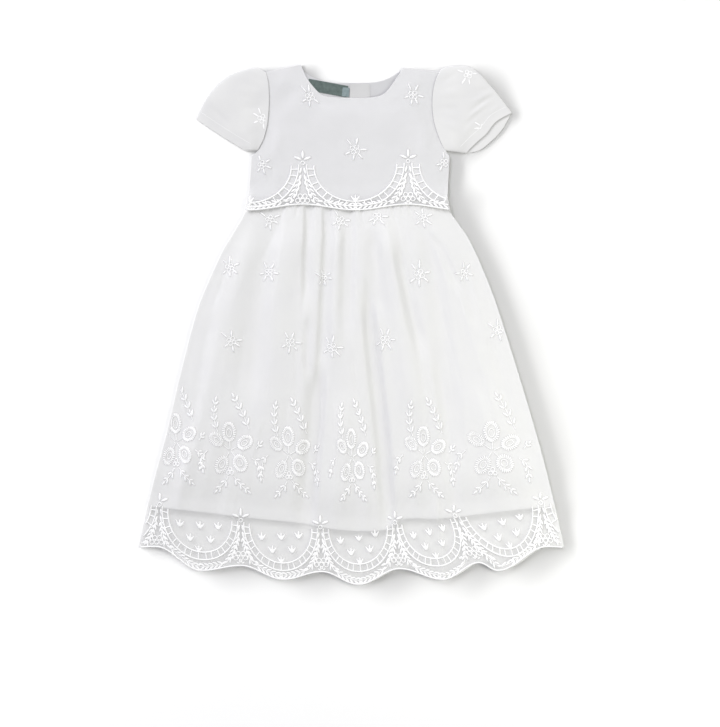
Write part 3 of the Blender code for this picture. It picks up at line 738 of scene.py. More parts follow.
def sleeve_mesh(name, outward, armhole, foot, top, cuff_front, cuff_back, rise, cuff_rise, wrinkles):
    """A puff sleeve pressed flat: an outer and an inner skin, open at the armhole and the cuff."""
    shares = (1 - np.cos(np.linspace(0, np.pi, SLEEVE_LOOP))) / 2
    hole = even_points(smooth_path([*armhole[:-2], foot], 12), 400) + (outward * 0.45, 0)
    upper = even_points(smooth_path([tuple(hole[0]), *top[1:]], 12), 400)
    fronts, backs = (even_points(smooth_path(cuff, 12), 400) for cuff in (cuff_front, cuff_back))
    steps = np.linspace(0, 1, 400)

    def on(path, share):
        return np.stack([np.interp(share, steps, path[:, k]) for k in (0, 1)], axis=-1)

    def place(ring, share, cuff):
        """Points of the patch that the armhole, the cuff and the two long edges bound."""
        s = share[:, None]
        across = on(hole, share) * (1 - ring) + on(cuff, share) * ring
        under = hole[-1] * (1 - ring) + cuff[-1] * ring
        along = on(upper, ring) * (1 - s) + under * s
        start = hole[0] * (1 - s) + hole[-1] * s
        end = cuff[0] * (1 - s) + cuff[-1] * s
        return across + along - (start * (1 - ring) + end * ring)

    def arch(ring, share):
        """The height of the pressed tube: low at both ends, with its long edges rounded."""
        round_off = (1 - np.abs(2 * share - 1) ** SLEEVE_EDGE_POWER) ** (1 / SLEEVE_EDGE_POWER)
        low = cuff_rise + (rise - cuff_rise) * smoothstep((1 - ring) / 0.95)
        return low * (0.45 + 0.55 * smoothstep(ring / 0.75)) * round_off

    outer, inner = [], []
    for ring in np.arange(SLEEVE_RINGS) / (SLEEVE_RINGS - 1):
        front = place(ring, shares, fronts)
        back = place(ring, shares[::-1][1:-1], backs)
        edge = SLEEVE_WALL / np.hypot(*(front[0] - front[-1]))
        tight = edge + shares * (1 - 2 * edge)
        front[:, 0] -= outward * SEAM_LAP * (1 - ring) ** 8 * np.sin(np.pi * shares) ** 0.4
        height = arch(ring, shares)
        wrinkled = wrinkle_height(front[:, 0], front[:, 1], wrinkles) * bump(2 * shares - 1) ** 0.3
        height = np.maximum(height + wrinkled, np.minimum(height, WRINKLE_FLOOR))
        flat = np.full(len(back), SHELL_UNDER)
        outer += [np.column_stack([front, np.maximum(height, SHELL_UNDER)]), np.column_stack([back, flat])]
        front = place(ring, tight, fronts)
        back = place(ring, tight[::-1][1:-1], backs)
        height = np.maximum(height - SLEEVE_WALL, SHELL_UNDER + SLEEVE_WALL)
        height[0] = height[-1] = SHELL_UNDER + SLEEVE_WALL
        inner += [np.column_stack([front, height]), np.column_stack([back, flat + SLEEVE_WALL])]
    points = np.concatenate(outer + inner)
    offset = len(points) // 2
    index = np.arange(offset).reshape(SLEEVE_RINGS, -1)
    after = np.roll(index, -1, axis=1)
    skin = np.column_stack([part.ravel() for part in (index[:-1], after[:-1], after[1:], index[1:])])
    faces = [skin, skin[:, ::-1] + offset]
    for end, turn in ((0, 1), (-1, -1)):
        rim = np.column_stack([index[end], after[end], after[end] + offset, index[end] + offset])
        faces.append(rim[:, ::-turn])
    return cloth_mesh(name, points, np.concatenate(faces).tolist())


def polar(reach, degrees, x=0.0, y=0.0):
    """The point at a reach from x, y in a direction."""
    a = math.radians(degrees)
    return x + reach * math.cos(a), y + reach * math.sin(a)


def heading(here, ahead):
    """The direction from one point to another, in degrees."""
    return math.degrees(math.atan2(ahead[1] - here[1], ahead[0] - here[0]))


def oval_point(x, y, radius, short_radius, turn, angle):
    """The point at an angle round an oval that is turned. Both angles are radians."""
    dx, dy = radius * math.cos(angle), short_radius * math.sin(angle)
    c, s = math.cos(turn), math.sin(turn)
    return x + dx * c - dy * s, y + dx * s + dy * c


class Chart:
    """Stitches and cords in plan, in mm, for one piece of cloth, kept where the cloth is."""

    def __init__(self, inside):
        self.inside = inside
        self.stitches = []
        self.cords = []

    def leaf(self, place, base, tip, width, thick=0.2):
        """A satin stitch from base to tip, in the motif's own coordinates."""
        start, end = np.array(place(*base)), np.array(place(*tip))
        if not (self.inside(*start) and self.inside(*end)):
            return
        run = end - start
        turn = math.atan2(run[1], run[0])
        self.stitches.append((*((start + end) / 2), turn, np.hypot(*run), width, thick))

    def ray(self, place, foot, degrees, start, end, width, thick=0.2):
        """A satin stitch that points away from its foot, between two distances from it."""
        self.leaf(place, polar(start, degrees, *foot), polar(end, degrees, *foot), width, thick)

    def cord(self, place, points, thick):
        """A couched cord through some points; it is cut where the cloth ends."""
        spots = [place(*point) for point in points]
        for kept, group in itertools.groupby(spots, lambda spot: bool(self.inside(*spot))):
            run = list(group)
            if kept and len(run) > 1:
                self.cords.append((run, thick))

    def ring(self, place, x, y, radius, thick, squash=1.0, turn=0.0):
        """A small ring or oval, closed."""
        angles = [2 * math.pi * step / 16 for step in range(17)]
        self.cord(place, [oval_point(x, y, radius, radius * squash, turn, a) for a in angles], thick)


def turned(x, y, size, degrees, width=1.0):
    """A place function for a motif at x, y, of a size, turned and narrowed across the gown."""
    c, s = math.cos(math.radians(degrees)), math.sin(math.radians(degrees))
    return lambda px, py: (x + width * size * (px * c - py * s), y + size * (px * s + py * c))


def sprig(chart, x, y, size, turn):
    """A star flower: four small rings at the centre and uneven leaf stitches round them."""
    place = turned(x, y, size, turn)
    rng = np.random.default_rng(round(abs(x) * 10 + abs(y)))
    for cx, cy in ((-2.7, 1.3), (1.9, 2.5), (-1.5, -2.8), (2.8, -1.9)):
        chart.ring(place, cx, cy, 2.2, 0.5)
    for angle, start, length, width in SPRIG_LEAVES:
        angle += rng.uniform(-9, 9)
        length *= rng.uniform(0.8, 1.12)
        chart.ray(place, (0, 0), angle, start, start + length, width)


def leaf_spray(chart, place, points, pairs, length, width):
    """Leaf pairs along a stem; they point towards its end and get shorter there."""
    path = even_points(smooth_path(points, 6), 40)
    chart.cord(place, path, 0.5)
    for pair in range(pairs):
        t = (pair + 0.5) / pairs
        index = min(int(t * 39), 38)
        angle = heading(path[index], path[index + 1])
        for lean in (-SPRAY_LEAN, SPRAY_LEAN):
            reach = length * (1 - (1 - SPRAY_TAPER) * t)
            chart.ray(place, path[index], angle + lean, 0.8, reach, width)
    chart.ray(place, path[-1], heading(path[-2], path[-1]), 0, length * SPRAY_TAPER, width)


def petal(chart, place, angle, reach, long_radius, short_radius, thick):
    """An oval petal: a buttonholed rim of short stitches round an open oval with a ring in it."""
    a = math.radians(angle)
    cx, cy = polar(reach, angle)
    for step in range(RIM_STITCHES):
        t = 2 * math.pi * step / RIM_STITCHES
        fringe = 0.5 + 0.5 * math.sin(7 * t + angle)
        low, high = (
            oval_point(cx, cy, long_radius + beyond, short_radius + beyond, a, t + lag)
            for lag, beyond in ((0.0, -PETAL_RIM), (0.16, 0.3 + 0.7 * fringe))
        )
        chart.leaf(place, low, high, 2.1 * thick, 0.24)
    radius = long_radius - PETAL_RIM
    squash = (short_radius - PETAL_RIM) / radius
    chart.ring(place, cx, cy, radius, 0.48, squash, a)
    chart.ring(place, *polar(reach - 1, angle), radius * 0.55, 0.44, squash, a)


def flower(chart, x, y, width, size, stems):
    """The large spray: five fringed petals, two leafy stems above, berries and sprays below."""
    place = turned(x, y, size, 0, width)
    for row in PETALS:
        petal(chart, place, *row)
        chart.cord(place, [polar(2, row[0]), polar(10, row[0])], 0.5)
    for cx, cy in ((-2.6, -26.0), (2.6, -26.0), (0.0, -21.8)):
        chart.ring(place, cx, cy, 2.3, 0.6)
    for row in HIGH_SPRAYS[:stems] + LOW_SPRAYS:
        leaf_spray(chart, place, *row)


def slanted(star, depth):
    """The x below a star, on the line from it to the notch in the edge."""
    return star[0] + (star[2] - star[0]) * min(max(depth, 0.0) / NOTCH_DEPTH, 1.0)


def scallop_place(left, right, drop):
    """Where a scallop's own coordinates lie, between two stars. drop turns depth into mm."""

    def place(px, py):
        share = (px / (LACE_REPEAT / 2) + 1) / 2
        left_x, right_x = slanted(left, -py), slanted(right, -py)
        return left_x + (right_x - left_x) * share, left[1] + (right[1] - left[1]) * share - drop(-py)

    return place


def ellipse_path(half_width, top, depth, reach, count):
    """Points of the lower half of an ellipse from -reach to reach degrees, 0 at its bottom."""
    angles = np.radians(np.linspace(-reach, reach, count))
    return [(half_width * math.sin(a), -top - depth * math.cos(a)) for a in angles]


def scallop(chart, place, with_field, low_garland, edge):
    """One scallop of the border lace: ladder, garlands along the cloth's edge, crowns."""

    def above_edge(px, py):
        x, y = place(px, py)
        return x, max(y, float(edge(x)) + GARLAND_INSET)

    inner = ellipse_path(47.5, 7.0, 41.5, 91, 61)
    outer = ellipse_path(56.0, 6.0, 51.0, 91, 61)
    chart.cord(place, inner, 0.95)
    chart.cord(place, outer, 0.95)
    for bar in range(LADDER_BARS):
        index = round(60 * (bar + 0.5) / LADDER_BARS)
        chart.cord(place, [inner[index], outer[index]], 0.8)
    stem = [above_edge(*point) for point in ellipse_path(57.5, 8.0, low_garland, 80, 81)]
    for run in (stem[:41], stem[:39:-1]):
        half = even_points(run, 41)
        chart.cord(plain_place, half, 0.5)
        for leaf in range(GARLAND_LEAVES):
            index = round(1 + 37 * leaf / (GARLAND_LEAVES - 1))
            for lean in (-GARLAND_LEAN, GARLAND_LEAN):
                angle = heading(half[index], half[index + 1]) + lean
                chart.ray(plain_place, half[index], angle, 1.1, 8.4, 2.3, 0.28)
    if with_field:
        for cx, cy in ((-29.0, -20.0), (0.5, -18.0), (27.0, -15.0), (-13.0, -34.0), (16.5, -32.0)):
            crown(chart, place, cx, cy, 1.15)
    crown(chart, place, 0.0, -45.0, 1.0)


def crown(chart, place, x, y, size):
    """A small crown: pointed stitches that fan out from one foot."""
    foot = (x, y - 4.0 * size)
    for dx, dy, width in CROWN:
        chart.leaf(place, foot, (x + size * dx, y + size * dy), width * size, 0.36)


def spine(chart, star, drop):
    """What stands between two scallops: star, leaf sprays, berries and a bow at the notch."""

    def place(px, py):
        return slanted(star, -py) + px, star[1] - drop(-py)

    for angle, length, width in ((90, 11.5, 3.4), (22, 11.0, 3.2), (158, 11.0, 3.2)):
        chart.ray(place, (0, 0), angle, 0.8, length, width)
    chart.ring(place, 0.0, -3.2, 2.2, 0.6)
    for y, half, length, lean in SPINE_LEAVES:
        for side in (-1, 1):
            chart.ray(place, (side * half, y), -90 + side * lean, 0, length, 3.0)
    for cx, cy in ((-2.8, -41.5), (2.8, -41.5), (0.0, -46.5), (-5.6, -46.5), (5.6, -46.5)):
        chart.ring(place, cx, cy, 2.5, 0.65)
    for angle in (20, 70, 110, 160, 270):
        chart.ray(place, (0, -53.0), angle, 0.8, 5.0, 1.9)


def lace_border(chart, stars, drop, with_field, low_garland, edge):
    """The border lace: a scallop between each two stars."""
    for left, right in zip(stars, stars[1:]):
        scallop(chart, scallop_place(left, right, drop), with_field, low_garland, edge)
    for star in stars:
        spine(chart, star, drop)


def plain_drop(depth):
    return depth


def plain_place(x, y):
    return x, y


def waist_drop(depth):
    """The waist's lace is pressed shorter below its ladder."""
    if depth <= WAIST_KEPT_DEPTH:
        return depth
    return WAIST_KEPT_DEPTH + (depth - WAIST_KEPT_DEPTH) * WAIST_PRESS


def in_skirt(x, y):
    """Whether a place is on the skirt's organza, below the bodice's free edge."""
    if y > float(free_edge_y(x)) - 1.0:
        return False
    across = (x - float(skirt_middle(y))) / float(skirt_half_width(y))
    return abs(across) < 0.992 and y > float(hem_y(x)) + 0.6


def armhole_x(armhole, y):
    """The x of an armhole's edge at a height."""
    return np.interp(-y, [-spot[1] for spot in armhole], [spot[0] for spot in armhole])


def in_bodice(x, y):
    """Whether a place is on the organza front."""
    if y < float(free_edge_y(x)) + 0.6:
        return False
    if y < UNDERARM_Y:
        heights = (FREE_EDGE_Y, WAIST_Y, UNDERARM_Y)
        left = np.interp(y, heights, (FREE_EDGE_LEFT_X, SIDE_LEFT_X[1], SIDE_LEFT_X[0]))
        right = np.interp(y, heights, (FREE_EDGE_RIGHT_X, SIDE_RIGHT_X[1], SIDE_RIGHT_X[0]))
        return left + 1.0 < x < right - 1.0
    left, right = armhole_x(ARMHOLE_LEFT, y), armhole_x(ARMHOLE_RIGHT, y)
    if not left + 1.0 < x < right - 1.0:
        return False
    if -58 < x < 59:
        return y < np.interp(x, *np.transpose(FRONT_NECK)) - 1.5
    return y < 289


def in_sleeve(armhole, top, cuff):
    """A test for places on a sleeve, by the outline of its top and cuff, above the cuff's hem."""
    outline = [tuple(p) for p in smooth_path(top, 6) + smooth_path(cuff, 6) + smooth_path(armhole, 6)[::-1]]
    middle = np.mean(outline, axis=0)
    edge = even_points(smooth_path(cuff, 6), 60)

    def inside(x, y):
        if np.min(np.hypot(edge[:, 0] - x, edge[:, 1] - y)) < CUFF_HEM - 0.6:
            return False
        px, py = x + (x - middle[0]) * 0.03, y + (y - middle[1]) * 0.03
        found = False
        for (x0, y0), (x1, y1) in zip(outline, outline[1:] + outline[:1]):
            if (y0 > py) != (y1 > py) and px < (x1 - x0) * (py - y0) / (y1 - y0) + x0:
                found = not found
        return found

    return inside


def new_group(name, extra, kind):
    """A node group that lays geometry on cloth, with one more named input. Gives its inputs too."""
    tree = bpy.data.node_groups.new(name, "GeometryNodeTree")
    tree.interface.new_socket(name="Geometry", in_out="OUTPUT", socket_type="NodeSocketGeometry")
    kinds = {"Geometry": "Geometry", "Cloth": "Object", "Lift": "Float", "Thread": "Material", extra: kind}
    for socket, short in kinds.items():
        tree.interface.new_socket(name=socket, in_out="INPUT", socket_type="NodeSocket" + short)
    return tree, add_node(tree, "NodeGroupInput").outputs


def object_geometry(tree, thing):
    """The geometry of an object socket, in the object's own coordinates."""
    node = add_node(tree, "GeometryNodeObjectInfo", {"Object": thing}, transform_space="ORIGINAL")
    return node.outputs["Geometry"]


def named_attribute(tree, name, kind):
    """A point's value from the chart."""
    return add_node(tree, "GeometryNodeInputNamedAttribute", {"Name": name}, data_type=kind).outputs[0]


def drape(tree, given, geometry):
    """Drops each point straight down onto the cloth. Gives the geometry and the cloth's normal."""
    here = add_node(tree, "GeometryNodeInputPosition").outputs[0]
    above = add_node(tree, "ShaderNodeVectorMath", {0: here, 1: (0.0, 0.0, 0.1)}, operation="ADD")
    cast = {"Target Geometry": object_geometry(tree, given["Cloth"]), "Source Position": above.outputs[0]}
    cast.update({"Ray Direction": (0.0, 0.0, -1.0), "Ray Length": 0.3})
    ray = add_node(tree, "GeometryNodeRaycast", cast).outputs
    scaled = {0: ray["Hit Normal"], "Scale": given["Lift"]}
    lift = add_node(tree, "ShaderNodeVectorMath", scaled, operation="SCALE").outputs[0]
    spot = add_node(tree, "ShaderNodeVectorMath", {0: ray["Hit Position"], 1: lift}, operation="ADD")
    inputs = {"Geometry": geometry, "Position": spot.outputs[0]}
    return add_node(tree, "GeometryNodeSetPosition", inputs).outputs[0], ray["Hit Normal"]


def stitch_group():
    """Places a stitch at each point of a chart, on the cloth, turned and sized by its attributes."""
    tree, given = new_group("Stitches on cloth", "Stitch", "Object")
    points, normal = drape(tree, given, given["Geometry"])
    spin = add_node(tree, "ShaderNodeCombineXYZ", {"Z": named_attribute(tree, "turn", "FLOAT")})
    rotation = add_node(tree, "FunctionNodeEulerToRotation", {"Euler": spin.outputs[0]}).outputs[0]
    aligned = {"Rotation": rotation, "Vector": normal}
    upright = add_node(tree, "FunctionNodeAlignRotationToVector", aligned, axis="Z", pivot_axis="AUTO")
    inputs = {"Points": points, "Instance": object_geometry(tree, given["Stitch"])}
    inputs.update({"Rotation": upright.outputs[0], "Scale": named_attribute(tree, "size", "FLOAT_VECTOR")})
    copies = add_node(tree, "GeometryNodeInstanceOnPoints", inputs)
    end_group(tree, copies.outputs[0], given["Thread"])


def cord_group():
    """Sweeps a round cord along each line of a chart, laid on the cloth."""
    tree, given = new_group("Cords on cloth", "Step", "Float")
    lines = add_node(tree, "GeometryNodeMeshToCurve", {"Mesh": given["Geometry"]}).outputs[0]
    spaced = {"Curve": lines, "Length": given["Step"]}
    even = add_node(tree, "GeometryNodeResampleCurve", spaced, mode="LENGTH").outputs[0]
    laid, _ = drape(tree, given, even)
    ring = add_node(tree, "GeometryNodeCurvePrimitiveCircle", {"Resolution": 5, "Radius": MM}).outputs[0]
    inputs = {"Curve": laid, "Profile Curve": ring, "Fill Caps": True}
    inputs["Scale"] = named_attribute(tree, "thick", "FLOAT")
    end_group(tree, add_node(tree, "GeometryNodeCurveToMesh", inputs).outputs[0], given["Thread"])


def end_group(tree, geometry, material):
    """Ends a group: instances are realized and shaded smooth, and the material is set."""
    real = add_node(tree, "GeometryNodeRealizeInstances", {"Geometry": geometry}).outputs[0]
    smooth = add_node(tree, "GeometryNodeSetShadeSmooth", {"Geometry": real}).outputs[0]
    dyed = add_node(tree, "GeometryNodeSetMaterial", {"Geometry": smooth, "Material": material})
    add_node(tree, "NodeGroupOutput", {"Geometry": dyed.outputs[0]})


def run_group(name, data, tree, inputs):
    """Runs a node group on a mesh and gives the result as a plain mesh."""
    holder = bpy.data.objects.new(name + "_chart", data)
    bpy.context.scene.collection.objects.link(holder)
    modifier = holder.modifiers.new("nodes", "NODES")
    modifier.node_group = tree
    for item in tree.interface.items_tree:
        if item.item_type == "SOCKET" and item.in_out == "INPUT" and item.name in inputs:
            modifier[item.identifier] = inputs[item.name]
    graph = bpy.context.evaluated_depsgraph_get()
    made = bpy.data.meshes.new_from_object(holder.evaluated_get(graph))
    made.name = name
    holder.modifiers.remove(modifier)
    bpy.data.objects.remove(holder)
    return made


def stitch_shape():
    """One satin stitch, 1 long and 1 wide: a pointed leaf with a rounded ridge."""
    shape = bmesh.new()
    stations = ((-0.30, 0.36, 0.7), (0.0, 0.5, 1.0), (0.30, 0.34, 0.7))
    start = shape.verts.new((-0.5, 0, 0))
    end = shape.verts.new((0.5, 0, 0))
    rings = []
    for x, half, ridge in stations:
        spots = ((x, -half, 0), (x, -half * 0.5, 0.5 * ridge), (x, half * 0.5, 0.5 * ridge), (x, half, 0))
        rings.append([shape.verts.new(spot) for spot in spots])
    for i in range(4):
        after = (i + 1) % 4
        shape.faces.new((start, rings[0][after], rings[0][i]))
        shape.faces.new((end, rings[-1][i], rings[-1][after]))
        for near, far in zip(rings, rings[1:]):
            shape.faces.new((near[i], near[after], far[after], far[i]))
    bmesh.ops.recalc_face_normals(shape, faces=shape.faces)
    data = bpy.data.meshes.new("stitch")
    shape.to_mesh(data)
    shape.free()
    return data


def chart_mesh(name, places, edges, attributes):
    """Places in plan in mm, joined by edges, with attributes: name, kind, field and values."""
    data = bpy.data.meshes.new(name)
    data.from_pydata([(x * MM, y * MM, 0) for x, y in places], edges, [])
    for key, kind, field, values in attributes:
        data.attributes.new(key, kind, "POINT").data.foreach_set(field, values)
    return data


def embroider(chart, cloth, name, thread):
    """Lays a chart's stitches and cords on a piece of cloth, as two pieces."""
    sizes = bpy.context.scene.gown_sizes
    if chart.stitches:
        rows = np.array(chart.stitches)
        turn = ("turn", "FLOAT", "value", rows[:, 2])
        size = ("size", "FLOAT_VECTOR", "vector", (rows[:, 3:6] * MM).ravel())
        points = chart_mesh(name + "_points", rows[:, :2], [], (turn, size))
        shape = bpy.data.objects.new("stitch", stitch_shape())
        inputs = {"Cloth": cloth, "Stitch": shape, "Lift": 0.0, "Thread": thread}
        mesh = run_group(name + "_stitches", points, bpy.data.node_groups["Stitches on cloth"], inputs)
        bpy.data.objects.remove(shape)
        finish_piece(name + "_stitches", mesh, thread)
    if chart.cords:
        places, edges, thick = [], [], []
        for run, size in chart.cords:
            edges += [(len(places) + i, len(places) + i + 1) for i in range(len(run) - 1)]
            places += run
            thick += [size] * len(run)
        lines = chart_mesh(name + "_lines", places, edges, (("thick", "FLOAT", "value", thick),))
        inputs = {"Cloth": cloth, "Step": sizes.cord_step, "Lift": sizes.thread_lift, "Thread": thread}
        mesh = run_group(name + "_cords", lines, bpy.data.node_groups["Cords on cloth"], inputs)
        finish_piece(name + "_cords", mesh, thread)


class GownSizes(bpy.types.PropertyGroup):
    """Sizes of the gown's finer parts."""

    shell: FloatProperty(
        name="Cloth thickness", description="Thickness of a cloth shell", default=0.00035, unit="LENGTH"
    )
    thread_lift: FloatProperty(
        name="Thread lift",
        description="Height of a cord's middle over the cloth, below 0 where it sinks in",
        default=-0.00022,
        unit="LENGTH",
    )
    cord_step: FloatProperty(
        name="Cord step", description="Spacing of a cord's rings", default=0.0013, unit="LENGTH"
    )
    skirt_columns: IntProperty(
        name="Skirt columns", description="Columns of the skirt's mesh", default=240, min=20
    )
    skirt_rows: IntProperty(
        name="Skirt rows", description="Rows of the skirt's mesh above the lace", default=110, min=10
    )
    sleeve_rise: FloatProperty(
        name="Sleeve rise", description="Height of a sleeve's puff", default=0.0080, unit="LENGTH"
    )


class GownColours(bpy.types.PropertyGroup):
    """Colours of the stage."""

    floor: FloatVectorProperty(
        name="Floor", description="Colour of the floor", subtype="COLOR", size=3, default=(0.43, 0.43, 0.43)
    )
    sky: FloatVectorProperty(
        name="Sky light",
        description="Colour of the soft light all round",
        subtype="COLOR",
        size=3,
        default=(0.955, 0.955, 1.0),
    )


class GOWN_OT_stage(bpy.types.Operator):
    """Adds the floor, the lights and the camera"""

    bl_idname = "gown.stage"
    bl_label = "Stage"

    def execute(self, context):
        scene = context.scene
        colours = scene.gown_colours
        sheet = bmesh.new()
        bmesh.ops.create_grid(sheet, x_segments=1, y_segments=1, size=20.0)
        data = bpy.data.meshes.new("floor")
        sheet.to_mesh(data)
        sheet.free()
        paper = {"Roughness": 0.9, "Base Color": (*colours.floor, 1)}
        data.materials.append(new_material("matt_paper_sweep", paper))
        floor = bpy.data.objects.new("floor", data)
        floor.location.z = -0.0002
        scene.collection.objects.link(floor)
        world = bpy.data.worlds.new("soft_white_room")
        world.use_nodes = True
        sky = world.node_tree.nodes["Background"]
        sky.inputs["Color"].default_value = (*colours.sky, 1)
        sky.inputs["Strength"].default_value = SKY_STRENGTH
        scene.world = world
        ground = bpy.data.collections.new("ground")
        ground.objects.link(floor)
        for name, place, power, width, height, colour, floor_only in LIGHTS:
            lamp = bpy.data.lights.new(name, "AREA")
            lamp.energy = power
            lamp.color = colour
            lamp.shape = "RECTANGLE"
            lamp.size = width
            lamp.size_y = height
            light = bpy.data.objects.new(name, lamp)
            light.location = place
            light.rotation_euler = (-Vector(place)).to_track_quat("-Z", "Y").to_euler()
            scene.collection.objects.link(light)
            if floor_only:
                light.light_linking.receiver_collection = ground
        lens = bpy.data.cameras.new("camera")
        lens.lens = PHOTO_LENS
        lens.sensor_width = SENSOR
        lens.sensor_fit = "AUTO"
        lens.clip_end = 20
        camera = bpy.data.objects.new("camera", lens)
        camera.location = (CAMERA_X * MM, CAMERA_Y * MM, CAMERA_HEIGHT * MM)
        scene.collection.objects.link(camera)
        scene.camera = camera
        scene.view_settings.view_transform = "Standard"
        return {"FINISHED"}


class GOWN_OT_back(bpy.types.Operator):
    """Makes the back panels, the strip of the opening and the plain labels"""

    bl_idname = "gown.back"
    bl_label = "Back"

    def execute(self, context):
        # Painted shade: the back's satin is as white as the front's, but it is coloured grey here for the
        # shade inside the neck.
        satin = duchess_satin("duchess_satin_back_painted_shade", 0xC2C2C3, 0xC9C9CA)
        outline = without_doubles(bodice_outline(BACK_NECK))
        for side, left_half in (("left", True), ("right", False)):
            name = f"back_{side}_cloth"
            half = half_outline(outline, left_half)
            data = outline_shell(half, bodice_back_z, 4.0, BACK_BODICE_THICKNESS, name)
            piece = finish_piece(name, data, satin)
            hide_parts(f"bodice_back_{side}")
        strip = [
            Vector((PLACKET_LEFT_X, WAIST_Y + 1)),
            Vector((PLACKET_RIGHT_X + 1.5, WAIST_Y + 1)),
            Vector((PLACKET_RIGHT_X - 1.5, PLACKET_TOP_Y)),
            Vector((PLACKET_LEFT_X, PLACKET_TOP_Y)),
        ]
        data = outline_shell(dense(strip, 4.0), level(1.15), 5.0, 0.3, "placket_cloth")
        # Painted shade: the strip's satin is white, but it is coloured grey here for the shade inside the
        # neck opening.
        satin = duchess_satin("duchess_satin_placket_painted_shade", 0xC4C4C3, 0xCACAC9)
        piece = finish_piece("placket_cloth", data, satin)
        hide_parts("back_placket")
        for name, node, size, low, high, z in (
            ("label_ribbon", "neck_label", LABEL, 0x4A5854, 0x616F6B, 1.3),
            ("tab_ribbon", "size_tab", SIZE_TAB, 0x748486, 0x8A9899, 1.6),
        ):
            data = outline_shell(dense(label_corners(size), 1.5), level(z), 2.0, 0.25, name)
            piece = finish_piece(name, data, woven_ribbon(name + "_weave", low, high))
            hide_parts(node)
        return {"FINISHED"}


def dense(corners, spacing):
    """The outline through some corners with points no further apart than the spacing."""
    points = []
    for here, after in zip(corners, corners[1:] + corners[:1]):
        steps = max(1, math.ceil((after - here).length / spacing))
        points += [here.lerp(after, step / steps) for step in range(steps)]
    return points


def label_corners(size):
    """The four corners of a label, turned about its middle."""
    place = turned(size["x"], size["y"], 1, size["turn"])
    half_width, half_height = size["width"] / 2, size["height"] / 2
    signs = ((-1, -1), (1, -1), (1, 1), (-1, 1))
    return [Vector(place(sx * half_width, sy * half_height)) for sx, sy in signs]


class GOWN_OT_bodice(bpy.types.Operator):
    """Makes the satin front and the organza over it"""

    bl_idname = "gown.bodice"
    bl_label = "Bodice"

    def execute(self, context):
        shell = context.scene.gown_sizes.shell / MM
        parts = bodice_outline(FRONT_NECK)
        data = outline_shell(without_doubles(parts), front_z, 2.8, shell, "front_satin")
        cloth = duchess_satin("duchess_satin_front", 0xE7E7E7, 0xEAEAEA)
        satin = finish_piece("front_satin", data, cloth)
        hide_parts("bodice_front")
        x = np.linspace(FREE_EDGE_RIGHT_X, FREE_EDGE_LEFT_X, 100)
        outline = without_doubles(parts[:-1] + [np.column_stack([x, free_edge_y(x)])])
        data = outline_shell(outline, front_organza_z, 2.8, shell, "front_organza")
        cloth = polyester_organza("polyester_organza_front", 0.3, 0xE7E7E7, 0xEAEAEA)
        organza = finish_piece("front_organza", data, cloth)
        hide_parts("bodice_overlay")
        return {"FINISHED"}


class GOWN_OT_skirt(bpy.types.Operator):
    """Makes the skirt's back, its satin lining and its gathered organza"""

    bl_idname = "gown.skirt"
    bl_label = "Skirt"

    def execute(self, context):
        sizes = context.scene.gown_sizes
        shell = sizes.shell / MM
        top = WAIST_Y - 0.2
        across = np.linspace(-1, 1, sizes.skirt_columns)
        start = edge_y(across, lining_hem_y) - ORGANZA_PAST_LINING
        upper = rows_between(top, start, np.linspace(0, 1, sizes.skirt_rows) ** ROW_CROWDING)
        lower = rows_between(start, edge_y(across, hem_y), np.linspace(0, 1, 40)[1:])
        y = np.concatenate([upper, lower])
        data = skirt_shell("skirt_organza", across, y, skirt_organza_z, shell)
        cloth = polyester_organza("polyester_organza_skirt", 0.34, 0xEEEEEE, 0xF0F0EF)
        organza = finish_piece("skirt_organza", data, cloth)
        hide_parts("skirt_overlay")

        across = np.linspace(-1, 1, sizes.skirt_columns * 2 // 3)
        shares = np.linspace(0, 1, sizes.skirt_rows * 2 // 3) ** ROW_CROWDING
        y = rows_between(top, edge_y(across, lining_hem_y), shares)
        data = skirt_shell("skirt_satin", across, y, lining_z, shell)
        satin = duchess_satin("duchess_satin_skirt", 0xEFEFEE, 0xF1F1EF)
        piece = finish_piece("skirt_satin", data, satin)
        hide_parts("skirt_lining")

        across = np.linspace(-1, 1, 200)
        hem = edge_y(across, lambda x: hem_y(x - BACK_HEM_SHIFT) + BACK_HEM_SHORTER)
        y = rows_between(top, hem, np.linspace(0, 1, 60))
        data = skirt_shell("skirt_back_cloth", across, y, skirt_back_z, BACK_SKIRT_THICKNESS)
        back = polyester_organza("polyester_organza_back", 0.97, 0xF5F5F3, 0xF8F8F6)
        piece = finish_piece("skirt_back_cloth", data, back)
        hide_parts("skirt_back")
        return {"FINISHED"}


class GOWN_OT_sleeves(bpy.types.Operator):
    """Makes the two puff sleeves"""

    bl_idname = "gown.sleeves"
    bl_label = "Sleeves"

    def execute(self, context):
        rise = context.scene.gown_sizes.sleeve_rise / MM
        cloth = polyester_organza("polyester_organza_sleeve", 0.93, 0xDDDDDC, 0xE2E2E0)
        for side, outward, armhole, foot, top, cuff, cuff_back, cuff_rise, wrinkles, _ in SLEEVES:
            name = f"sleeve_{side}_cloth"
            edges = (armhole, foot, top, cuff, cuff_back)
            data = sleeve_mesh(name, outward, *edges, rise, cuff_rise, wrinkles)
            piece = finish_piece(name, data, cloth)
            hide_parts(f"sleeve_{side}")
        return {"FINISHED"}


